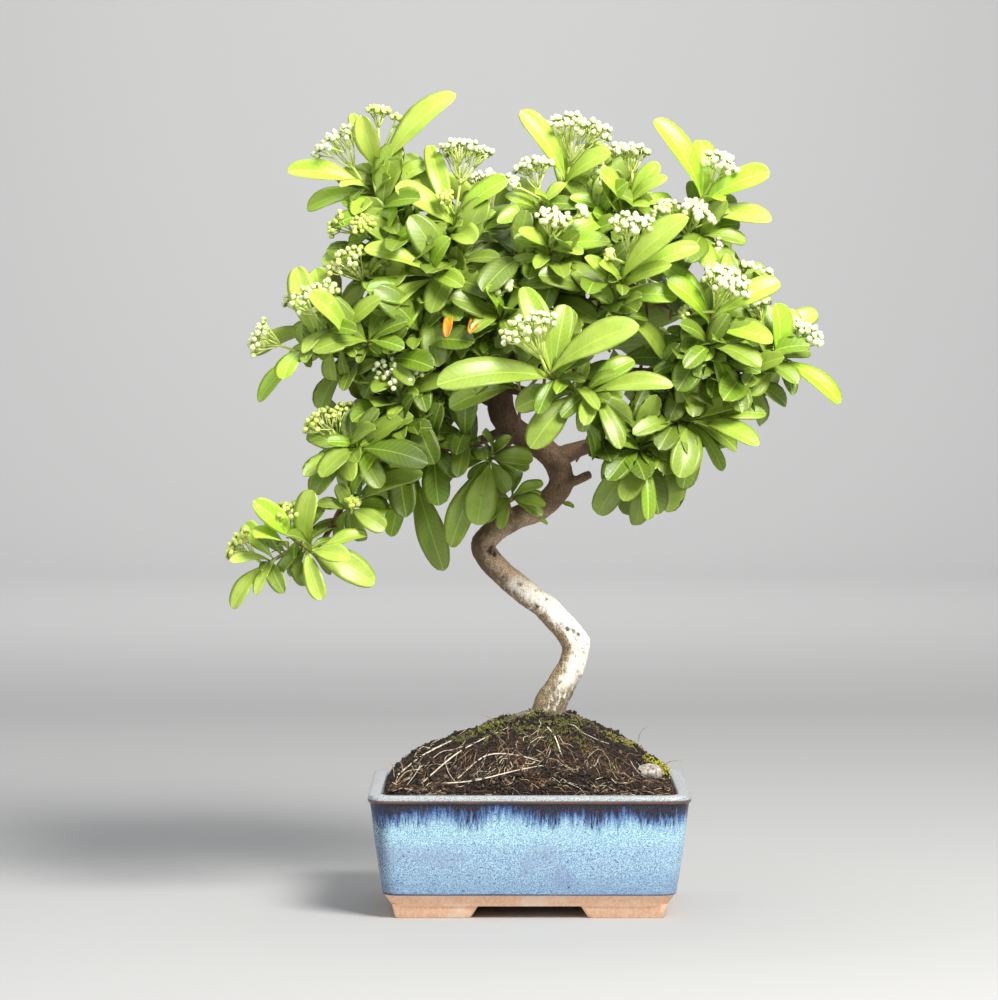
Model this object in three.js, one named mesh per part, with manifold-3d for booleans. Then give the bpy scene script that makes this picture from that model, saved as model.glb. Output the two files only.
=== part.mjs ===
// A firethorn bonsai in bud, in a shallow rectangular glazed pot.
// Millimetres, +Z up. The pot's front faces -Y, and the origin lies on the ground under the pot's middle.
import * as THREE from 'three';
import Module from 'manifold-3d';

const wasm = await Module();
wasm.setup();

// Clearance between two pieces that touch
const GAP = 0.3;
// Edges shorter than this, which joins leave, are closed up
const SLIVER = 0.05;
// How far a cutting body goes past what it cuts
const CUT_PAST = 2;
// The direction that a limb's or rod's first corner faces
const FIRST_CORNER = [0.31, 0.95, 0.05];

// Pot
const POT_HEIGHT = 70;
const RIM_HALF_X = 90;
const RIM_HALF_Y = 67.5;
const RIM_THICKNESS = 4.5;
const RIM_TOP_WIDTH = 8.5;
const GLAZE_BOTTOM = 13.5;
const GLAZE_HALF_X = 81.8;
const GLAZE_HALF_Y = 59.2;
const BAND_STEP = 0.6;
const BAND_BOTTOM = 7;
const BAND_HALF_X = 77;
const BAND_HALF_Y = 54.5;
const FLOOR_TOP = 15;
const CAVITY_HALF_X = 73.5;
const CAVITY_HALF_Y = 51;
const FOOT_OUTER_X = 75;
const FOOT_INNER_X = 32.5;
const FOOT_OUTER_Y = 52;
const FOOT_INNER_Y = 27;
const FOOT_SLOPE = 3.5;
const DRAIN_X = 38;
const DRAIN_RADIUS = 8;
const DRAIN_SIDES = 12;
const BAND_CORNER = 9;
const BAND_TOP_CORNER = 10;
const GLAZE_CORNER = 10.5;
const UNDER_RIM_CORNER = 12.5;
const RIM_CORNER = 13.5;
const RIM_TOP_CORNER = 12;
const RIM_INNER_TOP_CORNER = 8.5;
const RIM_INNER_CORNER = 8;
const CAVITY_CORNER = 6;
const RIM_OVERHANG = 1.2;
const RIM_LIP_ROUNDING = 0.8;
const RIM_OUTER_EASE_X = 1.8;
const RIM_OUTER_EASE_Z = 1.6;
const RIM_INNER_EASE_X = 1;
const RIM_INNER_EASE_Z = 1.2;
// How far a foot's sides slope for each unit that it rises, between the feet and outwards
const FOOT_INNER_SLANT = 1.4;
const FOOT_OUTER_SLANT = 0.5;

// Mesh squares over the drainage holes
const MESH_HALF = 12.5;
const MESH_THICKNESS = 1.2;
const MESH_HOLES = 2;
const MESH_BAR = 2.2;

// Soil mound: a steep shoulder inside the rim, and a swell under the trunk
const SOIL_SHOULDER = 12;
const SOIL_SWELL = 28;
const SOIL_SWELL_RADIUS = 50;
const SOIL_LEFT_RISE = 0.06;
const TRUNK_FOOT = [11, 0];
const SOIL_EDGE_RISE = 1;
const SOIL_EDGE_DROP = 2;
const SHOULDER_SHARPNESS = 6;
const MOUND_RINGS = [0.98, 0.92, 0.8, 0.6, 0.38, 0.16];
const MOUND_OVERHANG_X = 6.3;
const MOUND_OVERHANG_Y = 6;
const MOUND_CORNER = 10;
const MOUND_ROUNDING = 44;
const MOUND_ROUGHNESS = 0.5;
const MOUND_WAVE_X = 0.37;
const MOUND_WAVE_Y = 0.23;
const MOUND_BEND = 2.1;
const MOUND_STRETCH_X = 0.94;
const MOUND_STRETCH_Y = 0.9;
const SOIL_SIDE_GAP = 0.5;
const SOIL_TOP_GAP = 0.8;
// Clearances that let the flat-sided trunk and roots turn in their holes without touching
const TRUNK_HOLE_CLEARANCE = 0.8;
const TRUNK_HOLE_SIDES = 9;
const TRUNK_BURIED_POINTS = 4;
const ROOT_CLEARANCE = 0.45;

// Pale stone on the mound
const STONE_AT = [66, -34];
const STONE_RADII = [8, 6, 4.6];
const STONE_LIFT = 1.2;
const STONE_SIDES = 9;
const STONE_ROWS = 6;
const STONE_LUMP_ACROSS = 0.09;
const STONE_LUMP_ALONG = 0.07;

// Leaf blades: flat above, with the midrib as a keel below
const KEEL_DEPTH = 1.2;
const PETIOLE_HALF_WIDTH = 0.45;
const PETIOLE_DEPTH = 0.8;
const LEAF_ARCH = 0.13;
const LEAF_STATIONS = [0, 0.4, 0.78];
const LEAF_WIDTHS = [0, 0.72, 0.98];
const LARGE_LEAF = 15;
const LARGE_STATIONS = [0, 0.34, 0.66, 0.88];
const LARGE_WIDTHS = [0, 0.56, 1, 0.74];
const OVERLAP_IN_ONE_SPRAY = 0.2;
const LEAF_SPACING = 1.8;
const START_CLEAR = 2.2;
const TIP_CLEAR = 2;
const PLACES = 40;
// The way an upper face looks: to the front or back, up, and fanned out from the middle
const LEAF_LOOK_OUT = 0.8;
const LEAF_LOOK_UP = 0.58;
const LEAF_FAN = 0.003;
// A spray whose first stem ends behind this looks to the back
const BACK_FROM = 25;
// Leaves set by rule: their places along the stem, turn, lean, reach and width
const FILL_START = 0.12;
const FILL_SPAN = 0.86;
const FILL_TURN = 0.37;
const FILL_LEAN = 0.45;
const FILL_REACH = 33;
const FILL_REACH_CHANGE = 9;
const FILL_CHANGE_STEP = 2.4;
const FILL_WIDTH = 0.36;
const NEARLY_UPRIGHT = 0.2;

// Small turns that carry a leaf clear of its neighbours: about the vertical, up or down, and its length
const TURNS = [
  [0, 0, 1], [7, 0, 1], [-7, 0, 1], [0, 8, 1], [0, -8, 1], [12, 6, 0.97], [-12, 6, 0.97], [12, -8, 0.95],
  [-12, -8, 0.95], [20, 0, 0.92], [-20, 0, 0.92], [0, 18, 0.9], [0, -18, 0.9], [28, 12, 0.82],
  [-28, 12, 0.82], [26, -14, 0.8], [-26, -14, 0.8], [40, 4, 0.74], [-40, 4, 0.74], [0, 30, 0.7],
  [0, -30, 0.7],
];

// Buds, at their true size
const BUD_RADIUS = 1.95;
const BUD_SIDES = 3;
const BUD_HEIGHT = 3.4;
const STALK_RADIUS = 0.42;
const PEDUNCLE_RADIUS = 0.9;
const BUD_SHARE = 0.4;
const FEWEST_BUDS = 3;
const FIRST_BUD = 0.4;
const BUD_FIRST_CORNER = [0.2, 0.3, 0.93];
// A head: how far its hub lies below the crown, how domed the crown is, and how its stalks leave the hub
const HUB_DEPTH = 0.85;
const HUB_CLEAR = 3;
const CROWN_DOME = 0.3;
const CROWN_TILT = [0.1, 0.97, 0.2];
const STALK_DROP = 0.7;
const STALK_FAN = 0.35;
const STALK_LOWEST = 0.8;
const STALK_INSET = 0.7;
const FUSED_OVERLAP = 1;
const FORK_CLEAR = 0.4;
const GOLDEN_ANGLE = THREE.MathUtils.degToRad(137.508);

const STEM_RADIUS = 1.6;
const STEM_TIP_RADIUS = 1.2;
const NUB_LENGTH = 2;
const TWIG_RADII = [1.7, 1.3];

// The clearance tests: room round a box, and how near to the full gap passes
const BOX_ROOM = 0.1;
const GAP_SHARE = 0.95;
const SAME = 1e-6;

// Colour and roughness
const FINISHES = {
  glaze: [0x9fc6dc, 0.3],
  mesh: [0x2b2d2e, 0.6],
  soil: [0x3a2f28, 0.95],
  stone: [0xcfccc4, 0.85],
  wood: [0x6b5445, 0.85],
  leaf: [0x86b52c, 0.5],
  bud: [0xf1f0dc, 0.5],
};

const vector = (p) => new THREE.Vector3(p[0], p[1], p[2]);

// Trunk: centreline points with a radius each, from inside the mound to the leader's tip
const TRUNK = [
  [10, 0, 90, 9.5], [11, 0, 103, 11.8], [12, 0, 113.6, 10.6], [18.7, -1, 126, 9.2], [25.4, -2, 140, 8.4],
  [26, -2, 149, 8.6], [12.5, 0, 166.7, 8.2], [-6.2, 2, 181.4, 8], [-22, 3, 196, 7.6], [-26.4, 2, 205, 7.4],
  [-11.3, 0, 218.6, 7.4], [6.2, -2, 226, 7.6], [18.1, -2, 239.5, 7.8], [15.3, 0, 252, 8], [6.2, 2, 261, 8],
  [-8, 2, 270, 8], [-14.7, 1, 278, 8.6], [-16.4, 0, 292.6, 8], [-13.6, 0, 302.7, 7], [-5, 2, 315, 5.8],
  [0, 5, 330, 4.8], [6, 6, 350, 3.6], [11, 4, 373.5, 1.6],
];
const TRUNK_SIDES = 7;
const TRUNK_STEPS = 28;

// Roots: a start inside the flare, then points on the ground with a lift above it, and a radius each
const ROOT_START_DEPTH = 4;
const ROOT_START_RADIUS = 6;
const ROOT_SINK = 1.4;
const ROOTS = [
  [[-6, -5, 2, 5.2], [-24, -12, 0.8, 3.4], [-40, -16, 0.2, 2.6], [-54, -22, -4, 1.8]],
  [[24, -7, 2, 4.8], [38, -14, 0.8, 3.2], [52, -22, -4, 2]],
  [[12, 14, 2, 4.8], [18, 28, 0.6, 3.2], [22, 42, -4, 2]],
  [[4, -13, 2, 4.4], [-2, -26, 0.6, 3], [-10, -40, -4, 1.8]],
];

// Branches: points from inside the parent outwards, and the radius at each end
const BRANCHES = [
  { at: [[-8, 2, 312], [-28, -3, 331], [-41, -9, 348], [-43, -14, 368]], radii: [3.6, 1.5] },
  { at: [[-27, -3, 330], [-52, 0, 346], [-72, 2, 370], [-82, 0, 394]], radii: [2.8, 1.4] },
  { at: [[-16, 0, 288], [-42, -8, 302], [-73, -22, 311], [-100, -33, 318]], radii: [4.2, 1.5] },
  { at: [[0, 5, 328], [20, -13, 333], [47, -40, 342]], radii: [3.4, 1.6] },
  { at: [[4, 6, 344], [32, 10, 350], [66, 11, 362], [92, 4, 384]], radii: [3.4, 1.5] },
  { at: [[-13, 0, 303], [25, -3, 305], [62, -12, 303], [98, -16, 303], [130, -18, 306]], radii: [4.2, 1.5] },
  { at: [[15, 0, 255], [36, -4, 262], [58, -9, 268], [88, -17, 276]], radii: [5.4, 1.6] },
  { at: [[-15, -2, 295], [2, -30, 292], [24, -63, 293]], radii: [3.6, 1.7] },
  { at: [[-8, 2, 268], [-19, -8, 259], [-42, -9, 262], [-68, -11, 263], [-90, -21, 253], [-101, -30, 237],
    [-107, -34, 224], [-118, -35, 207], [-124, -37, 205.5]], radii: [3.2, 1.4] },
  { at: [[-16, 0, 284], [-34, 28, 292], [-54, 55, 299], [-70, 76, 306]], radii: [4.2, 1.5] },
  { at: [[-9, 2, 308], [10, 30, 313], [36, 52, 318], [58, 71, 323]], radii: [4.2, 1.5] },
  { at: [[2, 5, 338], [-9, 32, 356], [-20, 58, 372]], radii: [3.2, 1.5] },
  { at: [[6, 6, 352], [26, 26, 368], [48, 47, 389]], radii: [2.8, 1.4] },
  { at: [[14, 0, 250], [32, 30, 258], [50, 52, 262], [67, 69, 267]], radii: [3.8, 1.5] },
  { at: [[-10, 2, 271], [-32, 28, 262], [-58, 50, 256], [-82, 63, 252]], radii: [3.4, 1.4] },
  { at: [[-48, -10, 304], [-76, 12, 310], [-110, 30, 319]], radii: [2.6, 1.4] },
  { at: [[50, 10.5, 356], [80, 22, 340], [112, 31, 332]], radii: [2.4, 1.4] },
  { at: [[18, 0, 240], [27, -3, 242], [35, -4, 245.5]], radii: [3.4, 2.4] },
];
const BRANCH_SIDES = 4;
const ROOT_SIDES = 4;
const STEM_SIDES = 3;
const PEDUNCLE_SIDES = 4;

// Leafy sprays. twig: the woody twig's points, out of a branch. stems: each green stem's tip, the first
// from the twig's end, and a later one from a place along the first. leaves: stem, place along it, tip x y
// z, width. fill: further leaves set by rule. heads: from which stem, and each crown's centre x y z, half
// width and buds.
const SPRAYS = [
  { // top left
    twig: [[-82, 0, 394]],
    stems: [[0, [-85, -3, 420]], [0.15, [-94, -7, 410]]],
    leaves: [
      [0, 0.8, -41, -16, 461, 17], [0, 0.9, -94, -22, 447, 14], [0, 0.7, -105, 9, 446, 10],
      [1, 0.8, -135, -16, 416, 14], [1, 0.6, -106, -24, 407, 8], [1, 0.3, -98, -22, 391, 13],
    ],
    fill: 2,
    heads: [
      { stem: 0, crowns: [[-85, -3, 450, 9, 12], [-74, -7, 446, 5.5, 6]] },
      { stem: 1, crowns: [[-108, -9, 433, 17, 20]] },
    ],
  },
  { // left of the crown's middle, high
    twig: [[-43, -14, 368]],
    stems: [[0, [-42, -16, 388]]],
    leaves: [
      [0, 0.5, -70, 6, 426, 13], [0, 0.8, -75, -28, 407, 15], [0, 0.9, -12, -26, 411, 14],
      [0, 0.6, -31, -42, 375, 16], [0, 0.4, -4, 4, 387, 13], [0, 0.95, -55, -2, 431, 12],
      [0, 0.9, -24, -36, 398, 8],
    ],
    fill: 2,
    heads: [{ stem: 0, crowns: [[-36, -11, 427, 18, 26], [-47, -30, 401, 7, 9]] }],
  },
  { // rosette under it
    twig: [[-39, -8, 345], [-50, -22, 352]],
    stems: [[0, [-56, -32, 360]]],
    leaves: [
      [0, 0.9, -92, -42, 372, 12], [0, 1, -44, -46, 378, 14], [0, 0.6, -37, -52, 351, 13],
      [0, 0.3, -3, -32, 357, 16], [0, 0.4, -84, -44, 335, 12], [0, 0.1, -80, -36, 319, 18],
    ],
    fill: 1,
  },
  { // left, between the top and the middle
    twig: [[-60, 1, 355], [-79, -14, 357]],
    stems: [[0, [-88, -18, 377]], [0.1, [-90, -27, 351]]],
    leaves: [
      [0, 0.8, -74, -28, 395, 14], [0, 0.6, -103, -24, 370, 12], [0, 0.9, -92, -5, 397, 12],
      [1, 0.3, -83, -36, 341, 11], [1, 0.6, -104, -20, 338, 11], [0, 0.5, -62, -24, 384, 12],
    ],
    fill: 2,
    heads: [
      { stem: 0, crowns: [[-108, -20, 386, 10, 9], [-93, -31, 386, 9, 11]] },
      { stem: 1, crowns: [[-102, -34, 366, 14, 17]] },
    ],
  },
  { // left end of the middle
    twig: [[-100, -33, 318]],
    stems: [[0, [-113, -40, 328]], [0.1, [-129, -40, 315]]],
    leaves: [
      [0, 0.5, -120, -22, 361, 16], [0, 0.3, -82, -52, 345, 13], [0, 0.4, -131, -68, 344, 14],
      [1, 0.5, -130, -28, 362, 16], [1, 0.6, -151, -38, 287, 12], [1, 0.9, -136, -60, 300, 15],
      [0, 0.1, -114, -50, 310, 9], [0, 0.2, -89, -48, 325, 8], [1, 0.3, -110, -28, 299, 11],
    ],
    fill: 1,
    heads: [
      { stem: 0, crowns: [[-119, -49, 346, 17, 22]] },
      { stem: 1, crowns: [[-150, -42, 323, 13, 17]] },
    ],
  },
  { // middle, behind the front head
    twig: [[0, 4, 326], [-13, -28, 325]],
    stems: [[0, [-17, -36, 336]]],
    leaves: [
      [0, 0.8, -27, -50, 355, 10], [0, 0.7, 11, -38, 361, 11], [0, 0.5, -33, -48, 330, 10],
      [0, 0.2, -42, -14, 346, 12], [0, 0.3, -52, -26, 320, 14],
    ],
    fill: 2,
    heads: [{ stem: 0, crowns: [[-17, -43, 352, 10, 13]] }],
  },
  { // front, with the largest leaves
    twig: [[24, -63, 293]],
    stems: [[0, [9, -88, 305]], [0.1, [36, -82, 291]]],
    leaves: [
      [0, 0.9, 59, -98, 330, 20], [0, 0.55, -51, -108, 298, 20], [0, 0.95, -4, -78, 351, 16],
      [0, 0.9, 14, -82, 344, 15], [0, 0.3, 14, -98, 293, 8], [0, 0.2, 14, -66, 313, 11],
      [1, 0.2, -8, -72, 284, 16], [1, 0.3, 0, -88, 263, 18], [1, 0.8, 29, -106, 276, 10],
      [1, 0.9, 49, -98, 263, 11], [1, 0.8, 78, -88, 297, 13], [1, 0.5, 57, -70, 311, 13],
      [1, 1, 46, -100, 304, 8], [1, 0.6, 56, -68, 277, 11], [1, 1, 36, -104, 279, 8],
    ],
    fill: 1,
    heads: [{ stem: 0, crowns: [[-1, -98, 329, 18, 30]] }],
  },
  { // top middle
    twig: [[11, 4, 373.5]],
    stems: [[0, [21, 1, 412]], [0.12, [6, -18, 398]]],
    leaves: [
      [0, 0.95, -5, -8, 450, 14], [0, 0.95, 52, -14, 423, 14], [0, 0.5, 31, -10, 400, 11],
      [0, 0.7, 18, 16, 438, 12], [1, 0.3, 3, -38, 403, 10], [1, 0.5, -14, -22, 402, 9],
      [1, 0.9, 22, -28, 408, 9], [0, 0.6, 34, -4, 414, 9],
    ],
    fill: 2,
    heads: [
      { stem: 0, crowns: [[28, 0, 441, 21, 36], [41, -11, 414, 9, 10]] },
      { stem: 1, crowns: [[2, -17, 419, 14, 20], [-9, -27, 409, 6, 7]] },
    ],
  },
  { // top, right of the middle
    twig: [[24, 8, 348], [42, 0, 374], [47, -4, 386]],
    stems: [[0, [58, -8, 399]]],
    leaves: [
      [0, 0.9, 77, -14, 419, 12], [0, 0.95, 79, -20, 412, 9], [0, 0.5, 67, -24, 396, 8],
      [0, 0.7, 81, 4, 400, 9], [0, 0.1, 40, -28, 410, 17], [0, 0.1, 24, -24, 398, 10],
    ],
    fill: 2,
    heads: [{ stem: 0, crowns: [[58, -8, 427, 12, 17]] }],
  },
  { // middle, high, in front
    twig: [[5, 6, 346], [11, -29, 364]],
    stems: [[0, [11, -38, 373]]],
    leaves: [
      [0, 0.2, 26, -48, 349, 14], [0, 0.4, 3, -56, 361, 9], [0, 0.5, -9, -48, 378, 9],
      [0, 0.5, 45, -44, 376, 13], [0, 0.8, 45, -30, 385, 15], [0, 0.3, -11, -34, 364, 9],
      [0, 0.1, 42, -46, 337, 15],
    ],
    fill: 2,
    heads: [{ stem: 0, crowns: [[13, -46, 389, 12, 14], [29, -44, 393, 6, 6]] }],
  },
  { // right of the middle, in front
    twig: [[47, -40, 342]],
    stems: [[0, [53, -48, 361]]],
    leaves: [
      [0, 0.2, 24, -58, 365, 10], [0, 0.3, 78, -62, 363, 11], [0, 0.6, 90, -68, 389, 17],
      [0, 0.5, 94, -50, 373, 12], [0, 0.4, 38, -64, 364, 10], [0, 0.2, 82, -42, 345, 14],
      [0, 0.1, 66, -38, 329, 14],
    ],
    fill: 1,
    heads: [{ stem: 0, crowns: [[57, -56, 385, 16, 24], [44, -60, 369, 5, 5]] }],
  },
  { // top right
    twig: [[92, 4, 384]],
    stems: [[0, [98, -2, 401]], [0.1, [88, -12, 378]]],
    leaves: [
      [0, 0.9, 70, -10, 445, 16], [0, 0.9, 97, 8, 434, 15], [0, 0.95, 132, -14, 421, 16],
      [0, 0.3, 136, -16, 388, 15], [0, 0.95, 108, -28, 399, 10], [1, 0.6, 97, -32, 361, 14],
    ],
    fill: 2,
    heads: [
      { stem: 0, crowns: [[109, -9, 420, 14, 19]] },
      { stem: 1, crowns: [[94, -22, 393, 13, 18], [75, -22, 395, 9, 10], [106, -17, 374, 6, 6]] },
    ],
  },
  { // right
    twig: [[88, -16, 303], [98, -28, 320]],
    stems: [[0, [102, -35, 335]]],
    leaves: [
      [0, 0.6, 76, -46, 355, 15], [0, 0.95, 136, -36, 359, 14], [0, 0.4, 134, -54, 320, 16],
      [0, 0.1, 95, -48, 310, 12], [0, 0.1, 92, -26, 298, 14], [0, 0.2, 121, -26, 324, 10],
      [0, 0.9, 112, -22, 370, 8],
    ],
    fill: 2,
    heads: [{ stem: 0, crowns: [[110, -43, 354, 17, 28], [86, -42, 337, 6, 6]] }],
  },
  { // far right
    twig: [[130, -18, 306]],
    stems: [[0, [145, -20, 313]], [0.1, [131, -13, 325]]],
    leaves: [
      [0, 0.6, 175, -28, 286, 14], [0, 0.5, 137, -32, 342, 16], [0, 0.8, 146, -12, 339, 14],
      [0, 0.15, 106, -32, 319, 12], [0, 0.1, 122, -32, 291, 14], [0, 0.05, 109, -27, 290, 12],
      [0, 0.2, 130, -12, 292, 7],
    ],
    fill: 2,
    heads: [
      { stem: 0, crowns: [[157, -24, 325, 12, 16]] },
      { stem: 1, crowns: [[128, -14, 342, 9, 12]] },
    ],
  },
  { // rosette under the right side
    twig: [[88, -17, 276]],
    stems: [[0, [93, -27, 275]]],
    leaves: [
      [0, 0.8, 79, -38, 308, 13], [0, 0.9, 83, -46, 245, 18], [0, 0.4, 86, -24, 238, 14],
      [0, 0.6, 108, -30, 248, 9], [0, 0.9, 120, -42, 287, 14], [0, 0.5, 133, -22, 280, 12],
      [0, 0.8, 127, -50, 263, 15], [0, 0.4, 114, -18, 256, 12], [0, 1, 93, -44, 295, 7],
      [0, 0.3, 75, -26, 286, 8], [0, 0.2, 72, -12, 241, 10],
    ],
    fill: 0,
  },
  { // hanging leaves right of the trunk
    twig: [[52, -8, 267], [61, -21, 261]],
    stems: [[0, [64, -30, 256]]],
    leaves: [
      [0, 0.3, 70, -44, 250, 9], [0, 0.8, 52, -44, 232, 15], [0, 0.5, 38, -30, 224, 16],
      [0, 0.9, 66, -38, 221, 9], [0, 0.6, 60, -18, 217, 13], [0, 0.2, 44, -40, 265, 8],
    ],
    fill: 1,
  },
  { // left of the trunk
    twig: [[-24, -8, 259.5], [-22, -15, 256]],
    stems: [[0, [-22, -22, 252]]],
    leaves: [
      [0, 0.5, 2, -30, 254, 13], [0, 0.9, -29, -34, 218, 19], [0, 0.6, -44, -22, 205, 16],
      [0, 0.3, -12, -20, 236, 12],
    ],
    fill: 1,
  },
  { // small shoot on the trunk
    twig: [[-10, -2, 222], [-12, -12, 230]],
    stems: [[0, [-9, -19, 234]]],
    leaves: [
      [0, 0.6, -25, -28, 219, 8], [0, 0.7, 9, -32, 229, 9], [0, 0.95, 8, -28, 241, 8],
    ],
    fill: 0,
  },
  { // left, under the middle
    twig: [[-50, -9.5, 262.5], [-61, -14, 275], [-67, -18, 284]],
    stems: [[0, [-72, -25, 292]]],
    leaves: [
      [0, 0.3, -81, -38, 263, 13], [0, 0.6, -45, -36, 300, 13], [0, 0.6, -89, -48, 321, 13],
      [0, 0.4, -97, -20, 309, 15], [0, 0.15, -53, -34, 252, 14], [0, 0.9, -62, -44, 291, 7],
      [0, 0.2, -54, -18, 277, 11],
    ],
    fill: 2,
    heads: [{ stem: 0, crowns: [[-73, -35, 304, 16, 20]] }],
  },
  { // left, over the hanging branch
    twig: [[-80, -16, 258.5], [-96, -23, 262]],
    stems: [[0, [-104, -28, 259]]],
    leaves: [
      [0, 0.8, -96, -40, 267, 9], [0, 0.6, -111, -28, 246, 7], [0, 0.2, -103, -42, 243, 10],
      [0, 0.4, -98, -12, 284, 13],
    ],
    fill: 2,
    heads: [{ stem: 0, crowns: [[-114, -31, 278, 16, 20], [-100, -19, 283, 8, 8]] }],
  },
  { // on the hanging branch
    twig: [[-102.5, -31, 234], [-101, -36, 231]],
    stems: [[0, [-99, -43, 226]]],
    leaves: [
      [0, 0.3, -59, -48, 248, 14], [0, 0.3, -84, -50, 262, 10], [0, 0.8, -83, -54, 214, 13],
      [0, 0.7, -117, -46, 229, 8], [0, 0.4, -80, -32, 227, 13], [0, 0.5, -106, -48, 241, 8],
    ],
    fill: 0,
    heads: [{ stem: 0, fused: true, crowns: [[-98, -49, 232, 6, 8]] }],
  },
  { // end of the hanging branch
    twig: [[-124, -37, 205.5]],
    stems: [[0, [-133, -42, 212]], [0.4, [-148, -38, 196]], [0.4, [-118, -50, 202]]],
    leaves: [
      [0, 0.8, -160, -52, 235, 14], [2, 0.5, -120, -58, 239, 16], [1, 0.3, -152, -62, 213, 16],
      [2, 0.4, -115, -56, 178, 11], [2, 0.7, -99, -62, 201, 12], [2, 0.2, -86, -46, 186, 18],
      [2, 0.9, -90, -48, 214, 9], [1, 0.9, -165, -44, 172, 12], [1, 0.6, -152, -50, 180, 8],
      [1, 0.9, -166, -54, 199, 9], [1, 0.8, -160, -20, 218, 12],
    ],
    fill: 1,
    heads: [
      { stem: 0, crowns: [[-134, -44, 226, 15, 26]] },
      { stem: 1, crowns: [[-163, -38, 208, 12, 20]] },
    ],
  },
  { // under the left side, behind
    twig: [[-60, -10, 262.8], [-65, 6, 252]],
    stems: [[0, [-66, 10, 241]]],
    leaves: [
      [0, 0.8, -77, 4, 207, 12], [0, 0.6, -55, 2, 188, 17], [0, 0.4, -88, 12, 226, 12],
    ],
    fill: 2,
    heads: [{ stem: 0, fused: true, crowns: [[-70, 6, 229, 11, 14]] }],
  },
  { // back, left
    twig: [[-70, 76, 306]],
    stems: [[0, [-79, 87, 318]]],
    leaves: [],
    fill: 7,
    heads: [{ stem: 0, fused: true, crowns: [[-84, 91, 336, 15, 18]] }],
  },
  { // back, right
    twig: [[58, 71, 323]],
    stems: [[0, [66, 81, 337]]],
    leaves: [],
    fill: 7,
    heads: [{ stem: 0, fused: true, crowns: [[70, 84, 355, 15, 18]] }],
  },
  { // back, high
    twig: [[-20, 58, 372]],
    stems: [[0, [-22, 68, 393]]],
    leaves: [],
    fill: 7,
    heads: [{ stem: 0, fused: true, crowns: [[-24, 70, 413, 16, 20]] }],
  },
  { // back, top right
    twig: [[48, 47, 389]],
    stems: [[0, [52, 54, 409]]],
    leaves: [],
    fill: 7,
    heads: [{ stem: 0, fused: true, crowns: [[54, 55, 429, 14, 18]] }],
  },
  { // back, low right
    twig: [[67, 69, 267]],
    stems: [[0, [81, 80, 273]]],
    leaves: [],
    fill: 7,
    heads: [{ stem: 0, fused: true, crowns: [[88, 86, 286, 12, 14]] }],
  },
  { // back, low left
    twig: [[-82, 63, 252]],
    stems: [[0, [-97, 72, 255]]],
    leaves: [],
    fill: 7,
    heads: [{ stem: 0, fused: true, crowns: [[-107, 77, 266, 12, 14]] }],
  },
  { // left, behind
    twig: [[-110, 30, 319]],
    stems: [[0, [-125, 36, 329]]],
    leaves: [],
    fill: 6,
    heads: [{ stem: 0, fused: true, crowns: [[-132, 39, 346, 13, 16]] }],
  },
  { // right, behind
    twig: [[112, 31, 332]],
    stems: [[0, [125, 37, 343]]],
    leaves: [],
    fill: 6,
    heads: [{ stem: 0, fused: true, crowns: [[130, 40, 360, 13, 16]] }],
  },
];

// A closed surface over a row of rings. A ring of one point closes the surface there, and others end in a
// flat cap.
function loft(rings) {
  const positions = [];
  const index = [];
  const starts = rings.map((ring) => {
    const start = positions.length / 3;
    ring.forEach((p) => positions.push(p.x, p.y, p.z));
    return start;
  });
  for (let k = 0; k + 1 < rings.length; k += 1) {
    const wideA = rings[k].length > 1;
    const wideB = rings[k + 1].length > 1;
    const count = Math.max(rings[k].length, rings[k + 1].length);
    for (let i = 0; i < count; i += 1) {
      const j = (i + 1) % count;
      const a = starts[k] + (wideA ? i : 0);
      const b = starts[k] + (wideA ? j : 0);
      const c = starts[k + 1] + (wideB ? j : 0);
      const d = starts[k + 1] + (wideB ? i : 0);
      if (!wideA) index.push(a, c, d);
      else if (!wideB) index.push(a, b, c);
      else index.push(a, b, c, a, c, d);
    }
  }
  const last = rings.length - 1;
  for (let i = 1; i + 1 < rings[0].length; i += 1) {
    index.push(starts[0], starts[0] + i + 1, starts[0] + i);
  }
  for (let i = 1; i + 1 < rings[last].length; i += 1) {
    index.push(starts[last], starts[last] + i, starts[last] + i + 1);
  }
  const geometry = new THREE.BufferGeometry();
  geometry.setAttribute('position', new THREE.Float32BufferAttribute(positions, 3));
  geometry.setIndex(index);
  return geometry;
}

// A closed geometry as a solid for joins and cuts
function solid(geometry) {
  const vertProperties = new Float32Array(geometry.attributes.position.array);
  const triVerts = new Uint32Array(geometry.index.array);
  return new wasm.Manifold(new wasm.Mesh({ numProp: 3, vertProperties, triVerts }));
}

// One solid as a geometry: the largest body that holds together
function geometryOf(body) {
  const parts = body.simplify(SLIVER).decompose();
  parts.sort((a, b) => b.volume() - a.volume());
  const mesh = parts[0].getMesh();
  const geometry = new THREE.BufferGeometry();
  geometry.setAttribute('position', new THREE.BufferAttribute(new Float32Array(mesh.vertProperties), 3));
  geometry.setIndex(Array.from(mesh.triVerts));
  geometry.computeVertexNormals();
  return geometry;
}

const CORNER_STEPS = 3;

// A rounded rectangle, counter-clockwise from above
function roundedRing(halfX, halfY, radius, z) {
  const corners = [[1, -1, -90], [1, 1, 0], [-1, 1, 90], [-1, -1, 180]];
  return corners.flatMap(([sx, sy, start]) => {
    const ring = [];
    for (let i = 0; i <= CORNER_STEPS; i += 1) {
      const angle = THREE.MathUtils.degToRad(start + (90 * i) / CORNER_STEPS);
      const x = sx * (halfX - radius) + radius * Math.cos(angle);
      const y = sy * (halfY - radius) + radius * Math.sin(angle);
      ring.push(new THREE.Vector3(x, y, z));
    }
    return ring;
  });
}

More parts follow.
